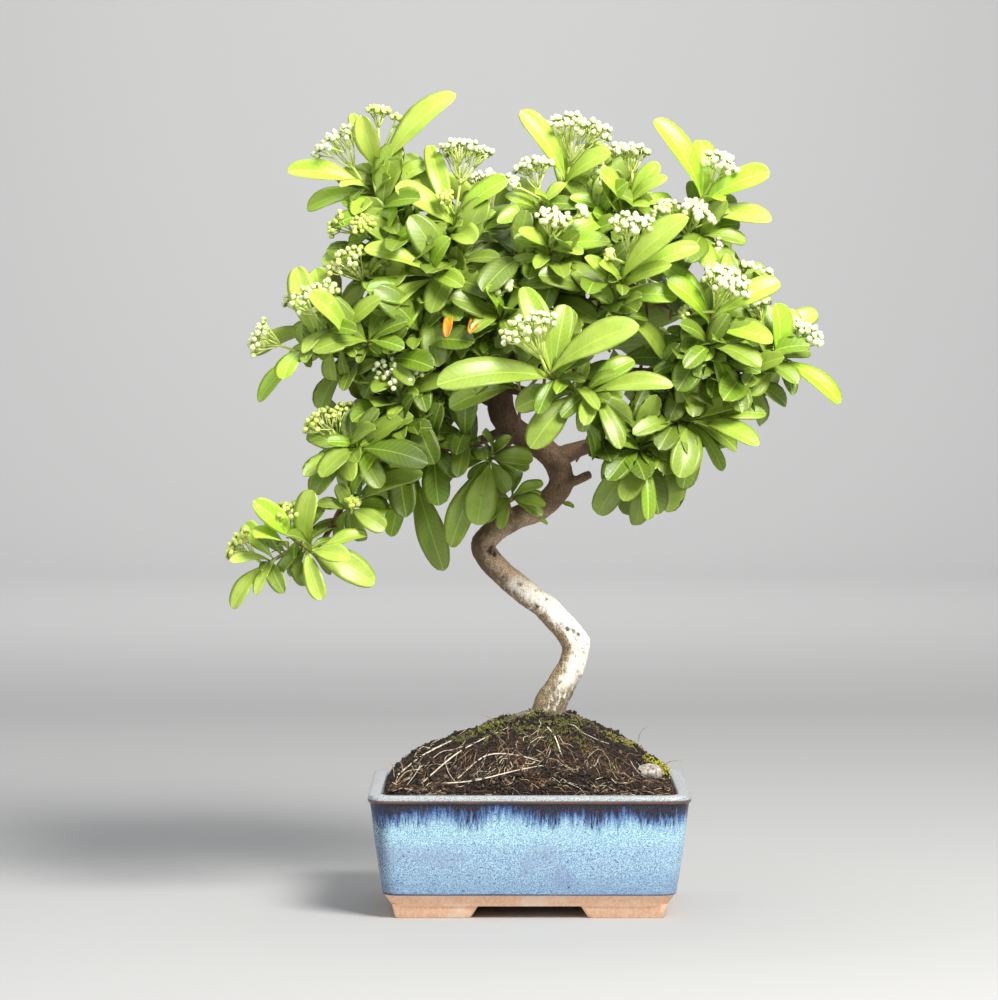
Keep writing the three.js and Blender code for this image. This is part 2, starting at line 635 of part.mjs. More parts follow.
// A tapered limb along a smooth curve through points, with a radius at each point
function limb(points, radii, sides, steps) {
  const curve = new THREE.CatmullRomCurve3(points);
  const rings = [];
  let across = vector(FIRST_CORNER);
  for (let k = 0; k <= steps; k += 1) {
    const u = k / steps;
    const centre = curve.getPoint(u);
    const along = curve.getTangent(u);
    across = across.clone().addScaledVector(along, -across.dot(along)).normalize();
    const beside = new THREE.Vector3().crossVectors(along, across);
    const place = u * (points.length - 1);
    const i = Math.min(Math.floor(place), points.length - 2);
    const radius = THREE.MathUtils.lerp(radii[i], radii[i + 1], place - i);
    const ring = [];
    for (let s = 0; s < sides; s += 1) {
      const angle = (2 * Math.PI * s) / sides;
      const p = centre.clone().addScaledVector(across, radius * Math.cos(angle));
      ring.push(p.addScaledVector(beside, radius * Math.sin(angle)));
    }
    rings.push(ring);
  }
  return solid(loft(rings));
}

// Height of the soil mound over a place in the pot
function soilHeight(x, y) {
  const edge = Math.min(1, Math.hypot((x / CAVITY_HALF_X) ** 2, (y / CAVITY_HALF_Y) ** 2) ** 0.5);
  const shoulder = 1 - edge ** SHOULDER_SHARPNESS;
  const fromTrunk = Math.hypot(x - TRUNK_FOOT[0], y - TRUNK_FOOT[1]) / SOIL_SWELL_RADIUS;
  const swell = SOIL_SWELL * Math.exp(-(fromTrunk ** 2));
  return POT_HEIGHT + SOIL_EDGE_RISE + (SOIL_SHOULDER - SOIL_LEFT_RISE * x) * shoulder + swell;
}

function makePot() {
  const rimBottom = POT_HEIGHT - RIM_THICKNESS;
  const rimInnerX = RIM_HALF_X - RIM_TOP_WIDTH;
  const rimInnerY = RIM_HALF_Y - RIM_TOP_WIDTH;
  const bandTopX = GLAZE_HALF_X - BAND_STEP;
  const bandTopY = GLAZE_HALF_Y - BAND_STEP;
  const underX = RIM_HALF_X - RIM_OVERHANG;
  const underY = RIM_HALF_Y - RIM_OVERHANG;
  const shell = solid(loft([
    roundedRing(BAND_HALF_X, BAND_HALF_Y, BAND_CORNER, BAND_BOTTOM),
    roundedRing(bandTopX, bandTopY, BAND_TOP_CORNER, GLAZE_BOTTOM - BAND_STEP),
    roundedRing(GLAZE_HALF_X, GLAZE_HALF_Y, GLAZE_CORNER, GLAZE_BOTTOM),
    roundedRing(underX, underY, UNDER_RIM_CORNER, rimBottom - RIM_LIP_ROUNDING),
    roundedRing(RIM_HALF_X, RIM_HALF_Y, RIM_CORNER, rimBottom + RIM_LIP_ROUNDING),
    roundedRing(RIM_HALF_X, RIM_HALF_Y, RIM_CORNER, POT_HEIGHT - RIM_OUTER_EASE_Z),
    roundedRing(RIM_HALF_X - RIM_OUTER_EASE_X, RIM_HALF_Y - RIM_OUTER_EASE_X, RIM_TOP_CORNER, POT_HEIGHT),
    roundedRing(rimInnerX + RIM_INNER_EASE_X, rimInnerY + RIM_INNER_EASE_X, RIM_INNER_TOP_CORNER, POT_HEIGHT),
    roundedRing(rimInnerX, rimInnerY, RIM_INNER_CORNER, POT_HEIGHT - RIM_INNER_EASE_Z),
    roundedRing(CAVITY_HALF_X, CAVITY_HALF_Y, CAVITY_CORNER, FLOOR_TOP),
  ]));
  const cutters = [-DRAIN_X, DRAIN_X].map((x) => {
    const top = new THREE.Vector3(x, 0, FLOOR_TOP + CUT_PAST);
    const bottom = new THREE.Vector3(x, 0, BAND_BOTTOM - CUT_PAST);
    return limb([bottom, top], [DRAIN_RADIUS, DRAIN_RADIUS], DRAIN_SIDES, 1);
  });
  const feet = [[1, 1], [1, -1], [-1, 1], [-1, -1]].map(([sx, sy]) => {
    const ring = (grow, z) => {
      const innerX = (FOOT_INNER_X - grow * FOOT_INNER_SLANT) * sx;
      const outerX = (FOOT_OUTER_X + grow * FOOT_OUTER_SLANT) * sx;
      const xs = [innerX, outerX].sort((a, b) => a - b);
      const innerY = (FOOT_INNER_Y - grow) * sy;
      const outerY = (FOOT_OUTER_Y + grow * FOOT_OUTER_SLANT) * sy;
      const ys = [innerY, outerY].sort((a, b) => a - b);
      return [[xs[0], ys[0]], [xs[1], ys[0]], [xs[1], ys[1]], [xs[0], ys[1]]].map((p) => vector([...p, z]));
    };
    return solid(loft([ring(0, 0), ring(FOOT_SLOPE, BAND_BOTTOM + 1)]));
  });
  return wasm.Manifold.union([shell, ...feet]).subtract(wasm.Manifold.union(cutters));
}

// A box with its middle at x, y
function boxSolid(x, y, halfX, halfY, low, high) {
  const corners = [[-1, -1], [1, -1], [1, 1], [-1, 1]];
  const ring = (z) => corners.map(([a, b]) => vector([x + a * halfX, y + b * halfY, z]));
  return solid(loft([ring(low), ring(high)]));
}

function makeDrainageMesh(x) {
  const low = FLOOR_TOP + GAP;
  const plate = boxSolid(x, 0, MESH_HALF, MESH_HALF, low, low + MESH_THICKNESS);
  const pitch = (2 * MESH_HALF - MESH_BAR) / MESH_HOLES;
  const half = (pitch - MESH_BAR) / 2;
  const holes = [];
  for (let i = 0; i < MESH_HOLES; i += 1) {
    for (let j = 0; j < MESH_HOLES; j += 1) {
      const middle = (n) => -MESH_HALF + MESH_BAR + half + n * pitch;
      const holeLow = low - CUT_PAST;
      const holeHigh = low + MESH_THICKNESS + CUT_PAST;
      holes.push(boxSolid(x + middle(i), middle(j), half, half, holeLow, holeHigh));
    }
  }
  return plate.subtract(wasm.Manifold.union(holes));
}

// The stone, or with a grown value the pocket that it lies in
function makeStone(grown) {
  const base = new THREE.SphereGeometry(1, STONE_SIDES, STONE_ROWS);
  const ring = (row) => {
    const points = [];
    const count = row === 0 || row === STONE_ROWS ? 1 : STONE_SIDES;
    for (let i = 0; i < count; i += 1) {
      const number = row * (STONE_SIDES + 1) + i;
      const p = new THREE.Vector3().fromBufferAttribute(base.attributes.position, number);
      const across = STONE_LUMP_ACROSS * Math.sin(3 * p.x + 2 * p.z);
      const lump = 1 + across + STONE_LUMP_ALONG * Math.cos(4 * p.z - p.y);
      const z = soilHeight(STONE_AT[0], STONE_AT[1]) + STONE_LIFT;
      points.push(new THREE.Vector3(
        STONE_AT[0] + p.x * (STONE_RADII[0] * lump + grown),
        STONE_AT[1] + p.z * (STONE_RADII[1] * lump + grown),
        z + p.y * (STONE_RADII[2] * lump + grown),
      ));
    }
    return points;
  };
  const rows = Array.from({ length: STONE_ROWS + 1 }, (_, row) => row);
  return solid(loft(rows.map(ring)));
}

function makeRoots(grown) {
  return ROOTS.map((root) => {
    const start = vector([...TRUNK_FOOT, soilHeight(...TRUNK_FOOT) - ROOT_START_DEPTH]);
    const outer = root.map(([x, y, lift]) => new THREE.Vector3(x, y, soilHeight(x, y) + lift - ROOT_SINK));
    const points = [start, ...outer];
    const radii = [ROOT_START_RADIUS, ...root.map((p) => p[3])].map((r) => r + grown);
    if (grown > 0) {
      const n = points.length;
      points[n - 1].addScaledVector(points[n - 1].clone().sub(points[n - 2]).normalize(), grown);
    }
    return limb(points, radii, ROOT_SIDES, root.length);
  });
}

function makeSoil() {
  const rimInnerX = RIM_HALF_X - RIM_TOP_WIDTH;
  const rimInnerY = RIM_HALF_Y - RIM_TOP_WIDTH;
  const edgeZ = POT_HEIGHT - SOIL_EDGE_DROP;
  const rings = [
    roundedRing(CAVITY_HALF_X - SOIL_SIDE_GAP, CAVITY_HALF_Y - SOIL_SIDE_GAP, CAVITY_CORNER, FLOOR_TOP + GAP),
    roundedRing(rimInnerX - SOIL_TOP_GAP, rimInnerY - SOIL_TOP_GAP, RIM_INNER_CORNER, edgeZ),
  ];
  const halfX = CAVITY_HALF_X + MOUND_OVERHANG_X;
  const halfY = CAVITY_HALF_Y + MOUND_OVERHANG_Y;
  const centre = new THREE.Vector3(TRUNK_FOOT[0], TRUNK_FOOT[1], 0);
  MOUND_RINGS.forEach((scale) => {
    const corner = MOUND_CORNER + MOUND_ROUNDING * (1 - scale);
    const ring = roundedRing(halfX, halfY, corner, 0).map((p) => {
      const q = centre.clone().lerp(p, scale);
      const bend = MOUND_BEND * Math.sin(q.y * MOUND_WAVE_Y);
      const roughness = MOUND_ROUGHNESS * Math.sin(q.x * MOUND_WAVE_X + bend);
      const height = soilHeight(q.x * MOUND_STRETCH_X, q.y * MOUND_STRETCH_Y);
      return new THREE.Vector3(q.x, q.y, height + roughness);
    });
    rings.push(ring);
  });
  const buried = TRUNK.slice(0, TRUNK_BURIED_POINTS);
  const trunkHole = limb(
    [vector([buried[0][0], buried[0][1], buried[0][2] - GAP]), ...buried.slice(1).map(vector)],
    buried.map((p) => p[3] + TRUNK_HOLE_CLEARANCE),
    TRUNK_HOLE_SIDES,
    TRUNK_BURIED_POINTS - 1,
  );
  const half = MESH_HALF + GAP;
  const pocketTop = FLOOR_TOP + MESH_THICKNESS + 2 * GAP;
  const pockets = [-DRAIN_X, DRAIN_X].map((x) => boxSolid(x, 0, half, half, FLOOR_TOP - CUT_PAST, pocketTop));
  const cuts = [trunkHole, makeStone(GAP), ...makeRoots(ROOT_CLEARANCE), ...pockets];
  return solid(loft(rings)).subtract(wasm.Manifold.union(cuts));
}

function makeWood() {
  const trunk = limb(TRUNK.map(vector), TRUNK.map((p) => p[3]), TRUNK_SIDES, TRUNK_STEPS);
  const limbs = [trunk, ...makeRoots(0)];
  const twigs = SPRAYS.map(({ twig }) => ({ at: twig, radii: TWIG_RADII })).filter(({ at }) => at.length > 1);
  [...BRANCHES, ...twigs].forEach(({ at, radii }) => {
    const spread = at.map((_, i) => THREE.MathUtils.lerp(radii[0], radii[1], i / (at.length - 1)));
    limbs.push(limb(at.map(vector), spread, BRANCH_SIDES, at.length - 1));
  });
  return wasm.Manifold.union(limbs);
}

// A point on a straight green stem
function alongStem(stem, t) {
  return stem.from.clone().lerp(stem.to, t);
}

// The green stems of a spray: the first starts just off the twig's end, and the others fork from it
function stemsOf(spray) {
  const end = vector(spray.twig[spray.twig.length - 1]);
  const stems = [];
  spray.stems.forEach(([fork, tip]) => {
    const to = vector(tip);
    const start = end.clone().addScaledVector(to.clone().sub(end).normalize(), GAP);
    const from = stems.length ? alongStem(stems[0], fork) : start;
    stems.push({ from, to, forked: stems.length > 0, taken: [] });
  });
  return stems;
}

// A straight tapered rod with flat sides. A pointed one starts in a short nub, which meets the face that
// carries it.
function rod(from, to, radii, sides, pointed) {
  const along = to.clone().sub(from).normalize();
  const across = new THREE.Vector3().crossVectors(along, vector(FIRST_CORNER)).normalize();
  const ring = (centre, radius) => {
    const points = [];
    for (let i = 0; i < sides; i += 1) {
      const direction = across.clone().applyAxisAngle(along, (2 * Math.PI * i) / sides);
      points.push(centre.clone().addScaledVector(direction, radius));
    }
    return points;
  };
  const start = from.clone().addScaledVector(along, pointed ? NUB_LENGTH : 0);
  const rings = [ring(start, radii[0]), ring(to, radii[1])];
  return solid(loft(pointed ? [[from], ...rings] : rings));
}

function makeStem(stem) {
  return rod(stem.from, stem.to, [STEM_RADIUS, STEM_TIP_RADIUS], STEM_SIDES, !stem.forked);
}

// A leaf blade from its base to its tip. Its upper face looks outwards and up.
function blade(base, tip, width, isBack) {
  const chord = tip.clone().sub(base);
  const reach = chord.length();
  const facing = new THREE.Vector3(LEAF_FAN * base.x, isBack ? LEAF_LOOK_OUT : -LEAF_LOOK_OUT, LEAF_LOOK_UP);
  const normal = facing.addScaledVector(chord, -facing.dot(chord) / (reach * reach)).normalize();
  const control = base.clone().lerp(tip, 0.5).addScaledVector(normal, 2 * LEAF_ARCH * reach);
  const isLarge = width >= LARGE_LEAF;
  const stations = isLarge ? LARGE_STATIONS : LEAF_STATIONS;
  const widths = isLarge ? LARGE_WIDTHS : LEAF_WIDTHS;
  const rings = stations.map((t, k) => {
    const p = base.clone().multiplyScalar((1 - t) ** 2);
    p.addScaledVector(control, 2 * t * (1 - t)).addScaledVector(tip, t * t);
    const along = control.clone().sub(base).multiplyScalar(1 - t);
    along.addScaledVector(tip.clone().sub(control), t).normalize();
    const side = new THREE.Vector3().crossVectors(normal, along).normalize();
    const up = new THREE.Vector3().crossVectors(along, side);
    const half = Math.max(PETIOLE_HALF_WIDTH, (widths[k] * width) / 2);
    const keel = (k === 0 ? PETIOLE_DEPTH : KEEL_DEPTH) / 2;
    const edge = (sign) => p.clone().addScaledVector(side, sign * half).addScaledVector(up, keel);
    return [edge(1), edge(-1), p.clone().addScaledVector(up, -keel)];
  });
  rings.push([tip.clone()]);
  return solid(loft(rings));
}

function turned(base, tip, [around, rise, scale]) {
  const chord = tip.clone().sub(base);
  const flat = new THREE.Vector3(chord.y, -chord.x, 0);
  if (flat.length() < SAME) flat.set(1, 0, 0);
  chord.applyAxisAngle(flat.normalize(), THREE.MathUtils.degToRad(rise));
  chord.applyAxisAngle(new THREE.Vector3(0, 0, 1), THREE.MathUtils.degToRad(around));
  return base.clone().addScaledVector(chord, scale);
}

// A leaf's place on its stem: the free one nearest to the wanted place, or else the one farthest from the
// others
function freePlace(stem, wanted) {
  const length = stem.from.distanceTo(stem.to);
  const high = 1 - TIP_CLEAR / length;
  const low = Math.min(START_CLEAR / length, high);
  let best = null;
  for (let i = 0; i <= PLACES; i += 1) {
    const t = THREE.MathUtils.lerp(low, high, i / PLACES);
    const nearest = Math.min(1, ...stem.taken.map((other) => Math.abs(other - t))) * length;
    const free = Math.min(nearest, LEAF_SPACING);
    const move = Math.abs(t - wanted);
    const isFreer = !best || free > best.free + SAME;
    const isNearer = best && free > best.free - SAME && move < best.move;
    if (isFreer || isNearer) best = { t, free, move };
  }
  stem.taken.push(best.t);
  return best.t;
}

// The leaves whose tips are given
function givenLeaves(spray, stems) {
  return spray.leaves.map(([stem, t, x, y, z, width]) => (
    { base: alongStem(stems[stem], freePlace(stems[stem], t)), tip: new THREE.Vector3(x, y, z), width }
  ));
}

// The leaves that a spray gets by rule: round its stem by the golden angle
function fillLeaves(spray, stems, number) {
  const leaves = [];
  for (let k = 0; k < spray.fill; k += 1) {
    const stem = stems[k % stems.length];
    const t = freePlace(stem, FILL_START + (FILL_SPAN * (k + 0.5)) / spray.fill);
    const along = stem.to.clone().sub(stem.from).normalize();
    const first = new THREE.Vector3(0, 0, 1).addScaledVector(along, -along.z);
    if (first.length() < NEARLY_UPRIGHT) first.set(1, 0, 0).addScaledVector(along, -along.x);
    first.normalize().applyAxisAngle(along, GOLDEN_ANGLE * (k + number * FILL_TURN));
    const direction = first.addScaledVector(along, FILL_LEAN).normalize();
    const reach = FILL_REACH + FILL_REACH_CHANGE * Math.sin(k * FILL_CHANGE_STEP + number);
    const base = alongStem(stem, t);
    leaves.push({ base, tip: base.clone().addScaledVector(direction, reach), width: reach * FILL_WIDTH });
  }
  return leaves;
}

// One bud on its stalk, from a root inside the peduncle
function makeBud(root, centre) {
  const along = centre.clone().sub(root).normalize();
  const side = new THREE.Vector3().crossVectors(along, vector(BUD_FIRST_CORNER)).normalize();
  const ring = (offset, radius) => {
    const points = [];
    for (let i = 0; i < BUD_SIDES; i += 1) {
      const direction = side.clone().applyAxisAngle(along, (2 * Math.PI * i) / BUD_SIDES);
      points.push(centre.clone().addScaledVector(along, offset).addScaledVector(direction, radius));
    }
    return points;
  };
  return solid(loft([
    [root],
    ring(-BUD_HEIGHT / 2, STALK_RADIUS),
    ring(0, BUD_RADIUS),
    [centre.clone().addScaledVector(along, BUD_HEIGHT / 2)],
  ]));
}

// The pieces of a group of bud heads: a peduncle that forks to each crown, and the buds on their stalks
function headPieces(head, stems) {
  const stemTip = stems[head.stem].to;
  const pieces = [];
  let fork = null;
  head.crowns.forEach(([x, y, z, spread, buds]) => {
    const crown = new THREE.Vector3(x, y, z);
    const axis = crown.clone().sub(stemTip).normalize();
    const hubDepth = Math.min(spread * HUB_DEPTH, crown.distanceTo(stemTip) - HUB_CLEAR);
    const hub = crown.clone().addScaledVector(axis, -hubDepth);
    const start = fork ?? stemTip.clone().addScaledVector(axis, head.fused ? -FUSED_OVERLAP : GAP);
    pieces.push(rod(start, hub, [PEDUNCLE_RADIUS, PEDUNCLE_RADIUS], PEDUNCLE_SIDES, !fork && !head.fused));
    fork ??= start.clone().addScaledVector(axis, NUB_LENGTH + FORK_CLEAR);
    const count = Math.max(FEWEST_BUDS, Math.round(buds * BUD_SHARE));
    const across = new THREE.Vector3().crossVectors(axis, vector(CROWN_TILT)).normalize();
    for (let i = 0; i < count; i += 1) {
      const share = Math.sqrt((i + FIRST_BUD) / count);
      const direction = across.clone().applyAxisAngle(axis, GOLDEN_ANGLE * i);
      const centre = crown.clone().addScaledVector(direction, share * (spread - BUD_RADIUS));
      centre.addScaledVector(axis, spread * CROWN_DOME * (1 - share ** 2));
      const drop = STALK_DROP + share * spread * STALK_FAN;
      const lowest = start.distanceTo(hub) * STALK_LOWEST;
      const root = hub.clone().addScaledVector(axis, -Math.min(drop, lowest));
      root.addScaledVector(direction, -PEDUNCLE_RADIUS * STALK_INSET);
      pieces.push(makeBud(root, centre));
    }
  });
  return pieces;
}

// Each placed solid with its box, by node, for the clearance tests
const placed = [];
const inflate = (box) => new THREE.Box3(vector(box.min), vector(box.max)).expandByScalar(GAP + BOX_ROOM);
function remember(node, body, isStem = false) {
  placed.push({ node, body, isStem, box: inflate(body.boundingBox()) });
}

function isClear(node, body) {
  const box = inflate(body.boundingBox());
  return placed.every((other) => {
    if (!other.box.intersectsBox(box)) return true;
    if (other.node !== node) return body.minGap(other.body, GAP) >= GAP * GAP_SHARE;
    return other.isStem || body.intersect(other.body).volume() < OVERLAP_IN_ONE_SPRAY;
  });
}

const pot = makePot();
const soil = makeSoil();
const stone = makeStone(0);
const wood = makeWood();
remember('pot', pot);
remember('soil', soil);
remember('tree_wood', wood);

const nodes = new Map();
const number = (n) => String(n + 1).padStart(2, '0');
const sprays = SPRAYS.map((spray, n) => {
  const name = `leafy_spray_${number(n)}`;
  const stems = stemsOf(spray);
  const bodies = stems.map(makeStem);
  bodies.forEach((body) => remember(name, body, true));
  nodes.set(name, { bodies, finish: 'leaf' });
  return { spray, name, stems };
});

let headCount = 0;
sprays.forEach(({ spray, name, stems }) => {
  (spray.heads ?? []).forEach((head) => {
    const headName = head.fused ? name : `bud_heads_${number(headCount)}`;
    if (!head.fused) {
      headCount += 1;
      nodes.set(headName, { bodies: [], finish: 'bud' });
    }
    headPieces(head, stems).forEach((piece) => {
      if (!isClear(headName, piece) && piece.numTri() === 4 * BUD_SIDES) return;
      remember(headName, piece);
      nodes.get(headName).bodies.push(piece);
    });
  });
});

// Leaves whose tips are given come first on every spray, and the others fill what is left
for (const given of [true, false]) {
  sprays.forEach(({ spray, name, stems }, n) => {
    const isBack = stems[0].to.y > BACK_FROM;
    const leaves = given ? givenLeaves(spray, stems) : fillLeaves(spray, stems, n);
    leaves.forEach(({ base, tip, width }) => {
      for (const turn of TURNS) {
        const body = blade(base, turned(base, tip, turn), width * turn[2], isBack);
        if (isClear(name, body)) {
          remember(name, body);
          nodes.get(name).bodies.push(body);
          break;
        }
      }
    });
  });
}

const bonsai = new THREE.Group();
function addMesh(name, geometry, finish) {
  const [color, roughness] = FINISHES[finish];
  const mesh = new THREE.Mesh(geometry, new THREE.MeshStandardMaterial({ color, roughness, metalness: 0 }));
  mesh.name = name;
  bonsai.add(mesh);
}

addMesh('pot', geometryOf(pot), 'glaze');
addMesh('drainage_mesh_left', geometryOf(makeDrainageMesh(-DRAIN_X)), 'mesh');
addMesh('drainage_mesh_right', geometryOf(makeDrainageMesh(DRAIN_X)), 'mesh');
addMesh('soil', geometryOf(soil), 'soil');
addMesh('stone_pale', geometryOf(stone), 'stone');
addMesh('tree_wood', geometryOf(wood), 'wood');
nodes.forEach(({ bodies, finish }, name) => {
  addMesh(name, geometryOf(wasm.Manifold.union(bodies)), finish);
});

export default bonsai;
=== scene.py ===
import math
import random
from collections import namedtuple

import bpy
import numpy as np
from mathutils import Matrix, Vector, kdtree, noise


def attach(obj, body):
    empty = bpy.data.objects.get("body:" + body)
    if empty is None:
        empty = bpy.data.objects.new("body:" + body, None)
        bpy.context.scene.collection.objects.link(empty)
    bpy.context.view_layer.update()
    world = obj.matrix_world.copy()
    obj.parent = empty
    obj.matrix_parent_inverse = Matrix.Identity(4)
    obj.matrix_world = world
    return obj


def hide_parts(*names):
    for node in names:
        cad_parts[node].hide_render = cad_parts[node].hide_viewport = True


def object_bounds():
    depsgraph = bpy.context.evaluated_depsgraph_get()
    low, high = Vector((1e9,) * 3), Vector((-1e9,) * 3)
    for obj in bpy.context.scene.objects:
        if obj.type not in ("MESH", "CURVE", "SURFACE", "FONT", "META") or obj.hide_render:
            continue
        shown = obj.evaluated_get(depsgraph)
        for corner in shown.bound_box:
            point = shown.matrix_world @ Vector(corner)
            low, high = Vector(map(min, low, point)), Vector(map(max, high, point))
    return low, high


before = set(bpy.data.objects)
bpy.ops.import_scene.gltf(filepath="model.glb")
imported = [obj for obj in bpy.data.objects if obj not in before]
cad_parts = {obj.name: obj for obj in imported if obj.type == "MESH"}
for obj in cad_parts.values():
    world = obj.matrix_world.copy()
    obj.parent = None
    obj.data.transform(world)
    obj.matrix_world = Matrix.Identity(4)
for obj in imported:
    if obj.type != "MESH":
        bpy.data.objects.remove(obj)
CAD_LOW, CAD_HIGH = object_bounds()

MM = 0.001
BOX_LOW = [v / MM for v in CAD_LOW]
BOX_HIGH = [v / MM for v in CAD_HIGH]
GAP = 0.3
GOLDEN_ANGLE = math.radians(137.508)
UP = Vector((0, 0, 1))

# Camera
CAMERA_AT = (-17, -2300, 347)
CAMERA_PITCH = 2.9
CAMERA_LENS = 146.3
SENSOR_WIDTH = 36
CAMERA_FAR = 20

# Pot
POT_HEIGHT = 70
RIM_HALF_X = 90
RIM_HALF_Y = 67.5
RIM_THICKNESS = 4.5
RIM_TOP_WIDTH = 8.5
GLAZE_BOTTOM = 13.5
GLAZE_HALF_X = 81.8
GLAZE_HALF_Y = 59.2
BAND_STEP = 0.6
BAND_BOTTOM = 7
BAND_HALF_X = 77
BAND_HALF_Y = 54.5
FLOOR_TOP = 15
CAVITY_HALF_X = 73.5
CAVITY_HALF_Y = 51
FOOT_OUTER_X = 75
FOOT_INNER_X = 32.5
FOOT_OUTER_Y = 52
FOOT_INNER_Y = 27
FOOT_SLOPE = 3.5
DRAIN_X = 38
DRAIN_RADIUS = 8
POT_CORNER_STEPS = 9
WALL_ROWS = 12
SHARP_ANGLE = 38

# Soil mound and stone
SOIL_SHOULDER = 12
SOIL_SWELL = 28
SOIL_SWELL_RADIUS = 50
SOIL_LEFT_RISE = 0.06
TRUNK_FOOT = (11, 0)
STONE_AT = (66, -34)
STONE_RADII = (8, 6, 4.6)
STONE_ROWS = 14
STONE_AROUND = 24
SOIL_AROUND = 260
SOIL_RINGS = 64
SOIL_REACH = 0.985
CORNER_STEPS = 6
SIDE_FOOT_DROP = 3

# Wood
TRUNK_SLIMNESS = 0.9
TWIG_RADIUS = 1.7
TWIG_TIP_RADIUS = 1.3
BARK_VOXEL = 0.9
BARE_TRUNK_PART = 135
MARK_REACH = 1.2

# Leaves
LEAF_ARCH = 0.13
LEAF_SPACING = 1.8
START_CLEAR = 2.2
TIP_CLEAR = 2
PLACES = 40
NUB_LENGTH = 2
STEM_RADIUS = 1.6
STEM_TIP_RADIUS = 1.2
BACK_FROM_Y = 25
PLACE_TOLERANCE = 0.12
INNER_LEAVES = 7

# Leaves set by a rule on a spray: their reach, how it varies, and their width for their reach
FILL_REACH = 33
FILL_SWING = 9
FILL_WIDTH = 0.36
INNER_REACH = (12, 27)
INNER_WIDTH = 0.4

# Buds
BUD_RADIUS = 1.95
PEDUNCLE_RADIUS = 0.9
BUD_SIDES = 8

# Fibres, crumbs and moss on the compost
DRESSED_HALF_X = 79
DRESSED_HALF_Y = 57.5
SOIL_FIBRES = 900
WALL_FIBRES = 230
FIBRE_POINTS = 6
SOIL_CRUMBS = 2000
WALL_CRUMBS = 750
CRUMB_SIDES = 5
FRONT_START = 0.7
FRONT_SHARE = 0.55
MOSS_DENSITY = 2.4
MOSS_BLADES = 3
BRIGHT_MOSS = 0.9

# Seeds of the random draws, and of the noise that makes the trunk's marks ragged
SPRAY_SEED = 500
SPUR_SEED = 2024
HEAD_SEED = 900
FIBRE_SEED = 41
CRUMB_SEED = 77
MOSS_SEED = 13
MARK_SEED = 7


# Small turns that carry a leaf clear of its neighbours: about the vertical, up or down, and its length
TURNS = [
    (0, 0, 1), (7, 0, 1), (-7, 0, 1), (0, 8, 1), (0, -8, 1), (12, 6, 0.97), (-12, 6, 0.97),
    (12, -8, 0.95), (-12, -8, 0.95), (20, 0, 0.92), (-20, 0, 0.92), (0, 18, 0.9), (0, -18, 0.9),
    (28, 12, 0.82), (-28, 12, 0.82), (26, -14, 0.8), (-26, -14, 0.8), (40, 4, 0.74), (-40, 4, 0.74),
    (0, 30, 0.7), (0, -30, 0.7),
]

# The trunk's line with its radius
TRUNK = [
    (10, 0, 90, 9.5), (11, 0, 103, 11.8), (12, 0, 113.6, 10.6), (18.7, -1, 126, 9.2),
    (25.4, -2, 140, 8.4), (26, -2, 149, 8.6), (12.5, 0, 166.7, 8.2), (-6.2, 2, 181.4, 8),
    (-22, 3, 196, 7.6), (-26.4, 2, 205, 7.4), (-11.3, 0, 218.6, 7.4), (6.2, -2, 226, 7.6),
    (18.1, -2, 239.5, 7.8), (15.3, 0, 252, 8), (6.2, 2, 261, 8), (-8, 2, 270, 8), (-14.7, 1, 278, 8.6),
    (-16.4, 0, 292.6, 8), (-13.6, 0, 302.7, 7), (-5, 2, 315, 5.8), (0, 5, 330, 4.8), (6, 6, 350, 3.6),
    (11, 4, 373.5, 1.6),
]

# Surface roots: place, height over the soil and radius
ROOTS = [
    [(-6, -5, 2, 5.2), (-24, -12, 0.8, 3.4), (-40, -16, 0.2, 2.6), (-54, -22, -4, 1.8)],
    [(24, -7, 2, 4.8), (38, -14, 0.8, 3.2), (52, -22, -4, 2)],
    [(12, 14, 2, 4.8), (18, 28, 0.6, 3.2), (22, 42, -4, 2)],
    [(4, -13, 2, 4.4), (-2, -26, 0.6, 3), (-10, -40, -4, 1.8)],
]

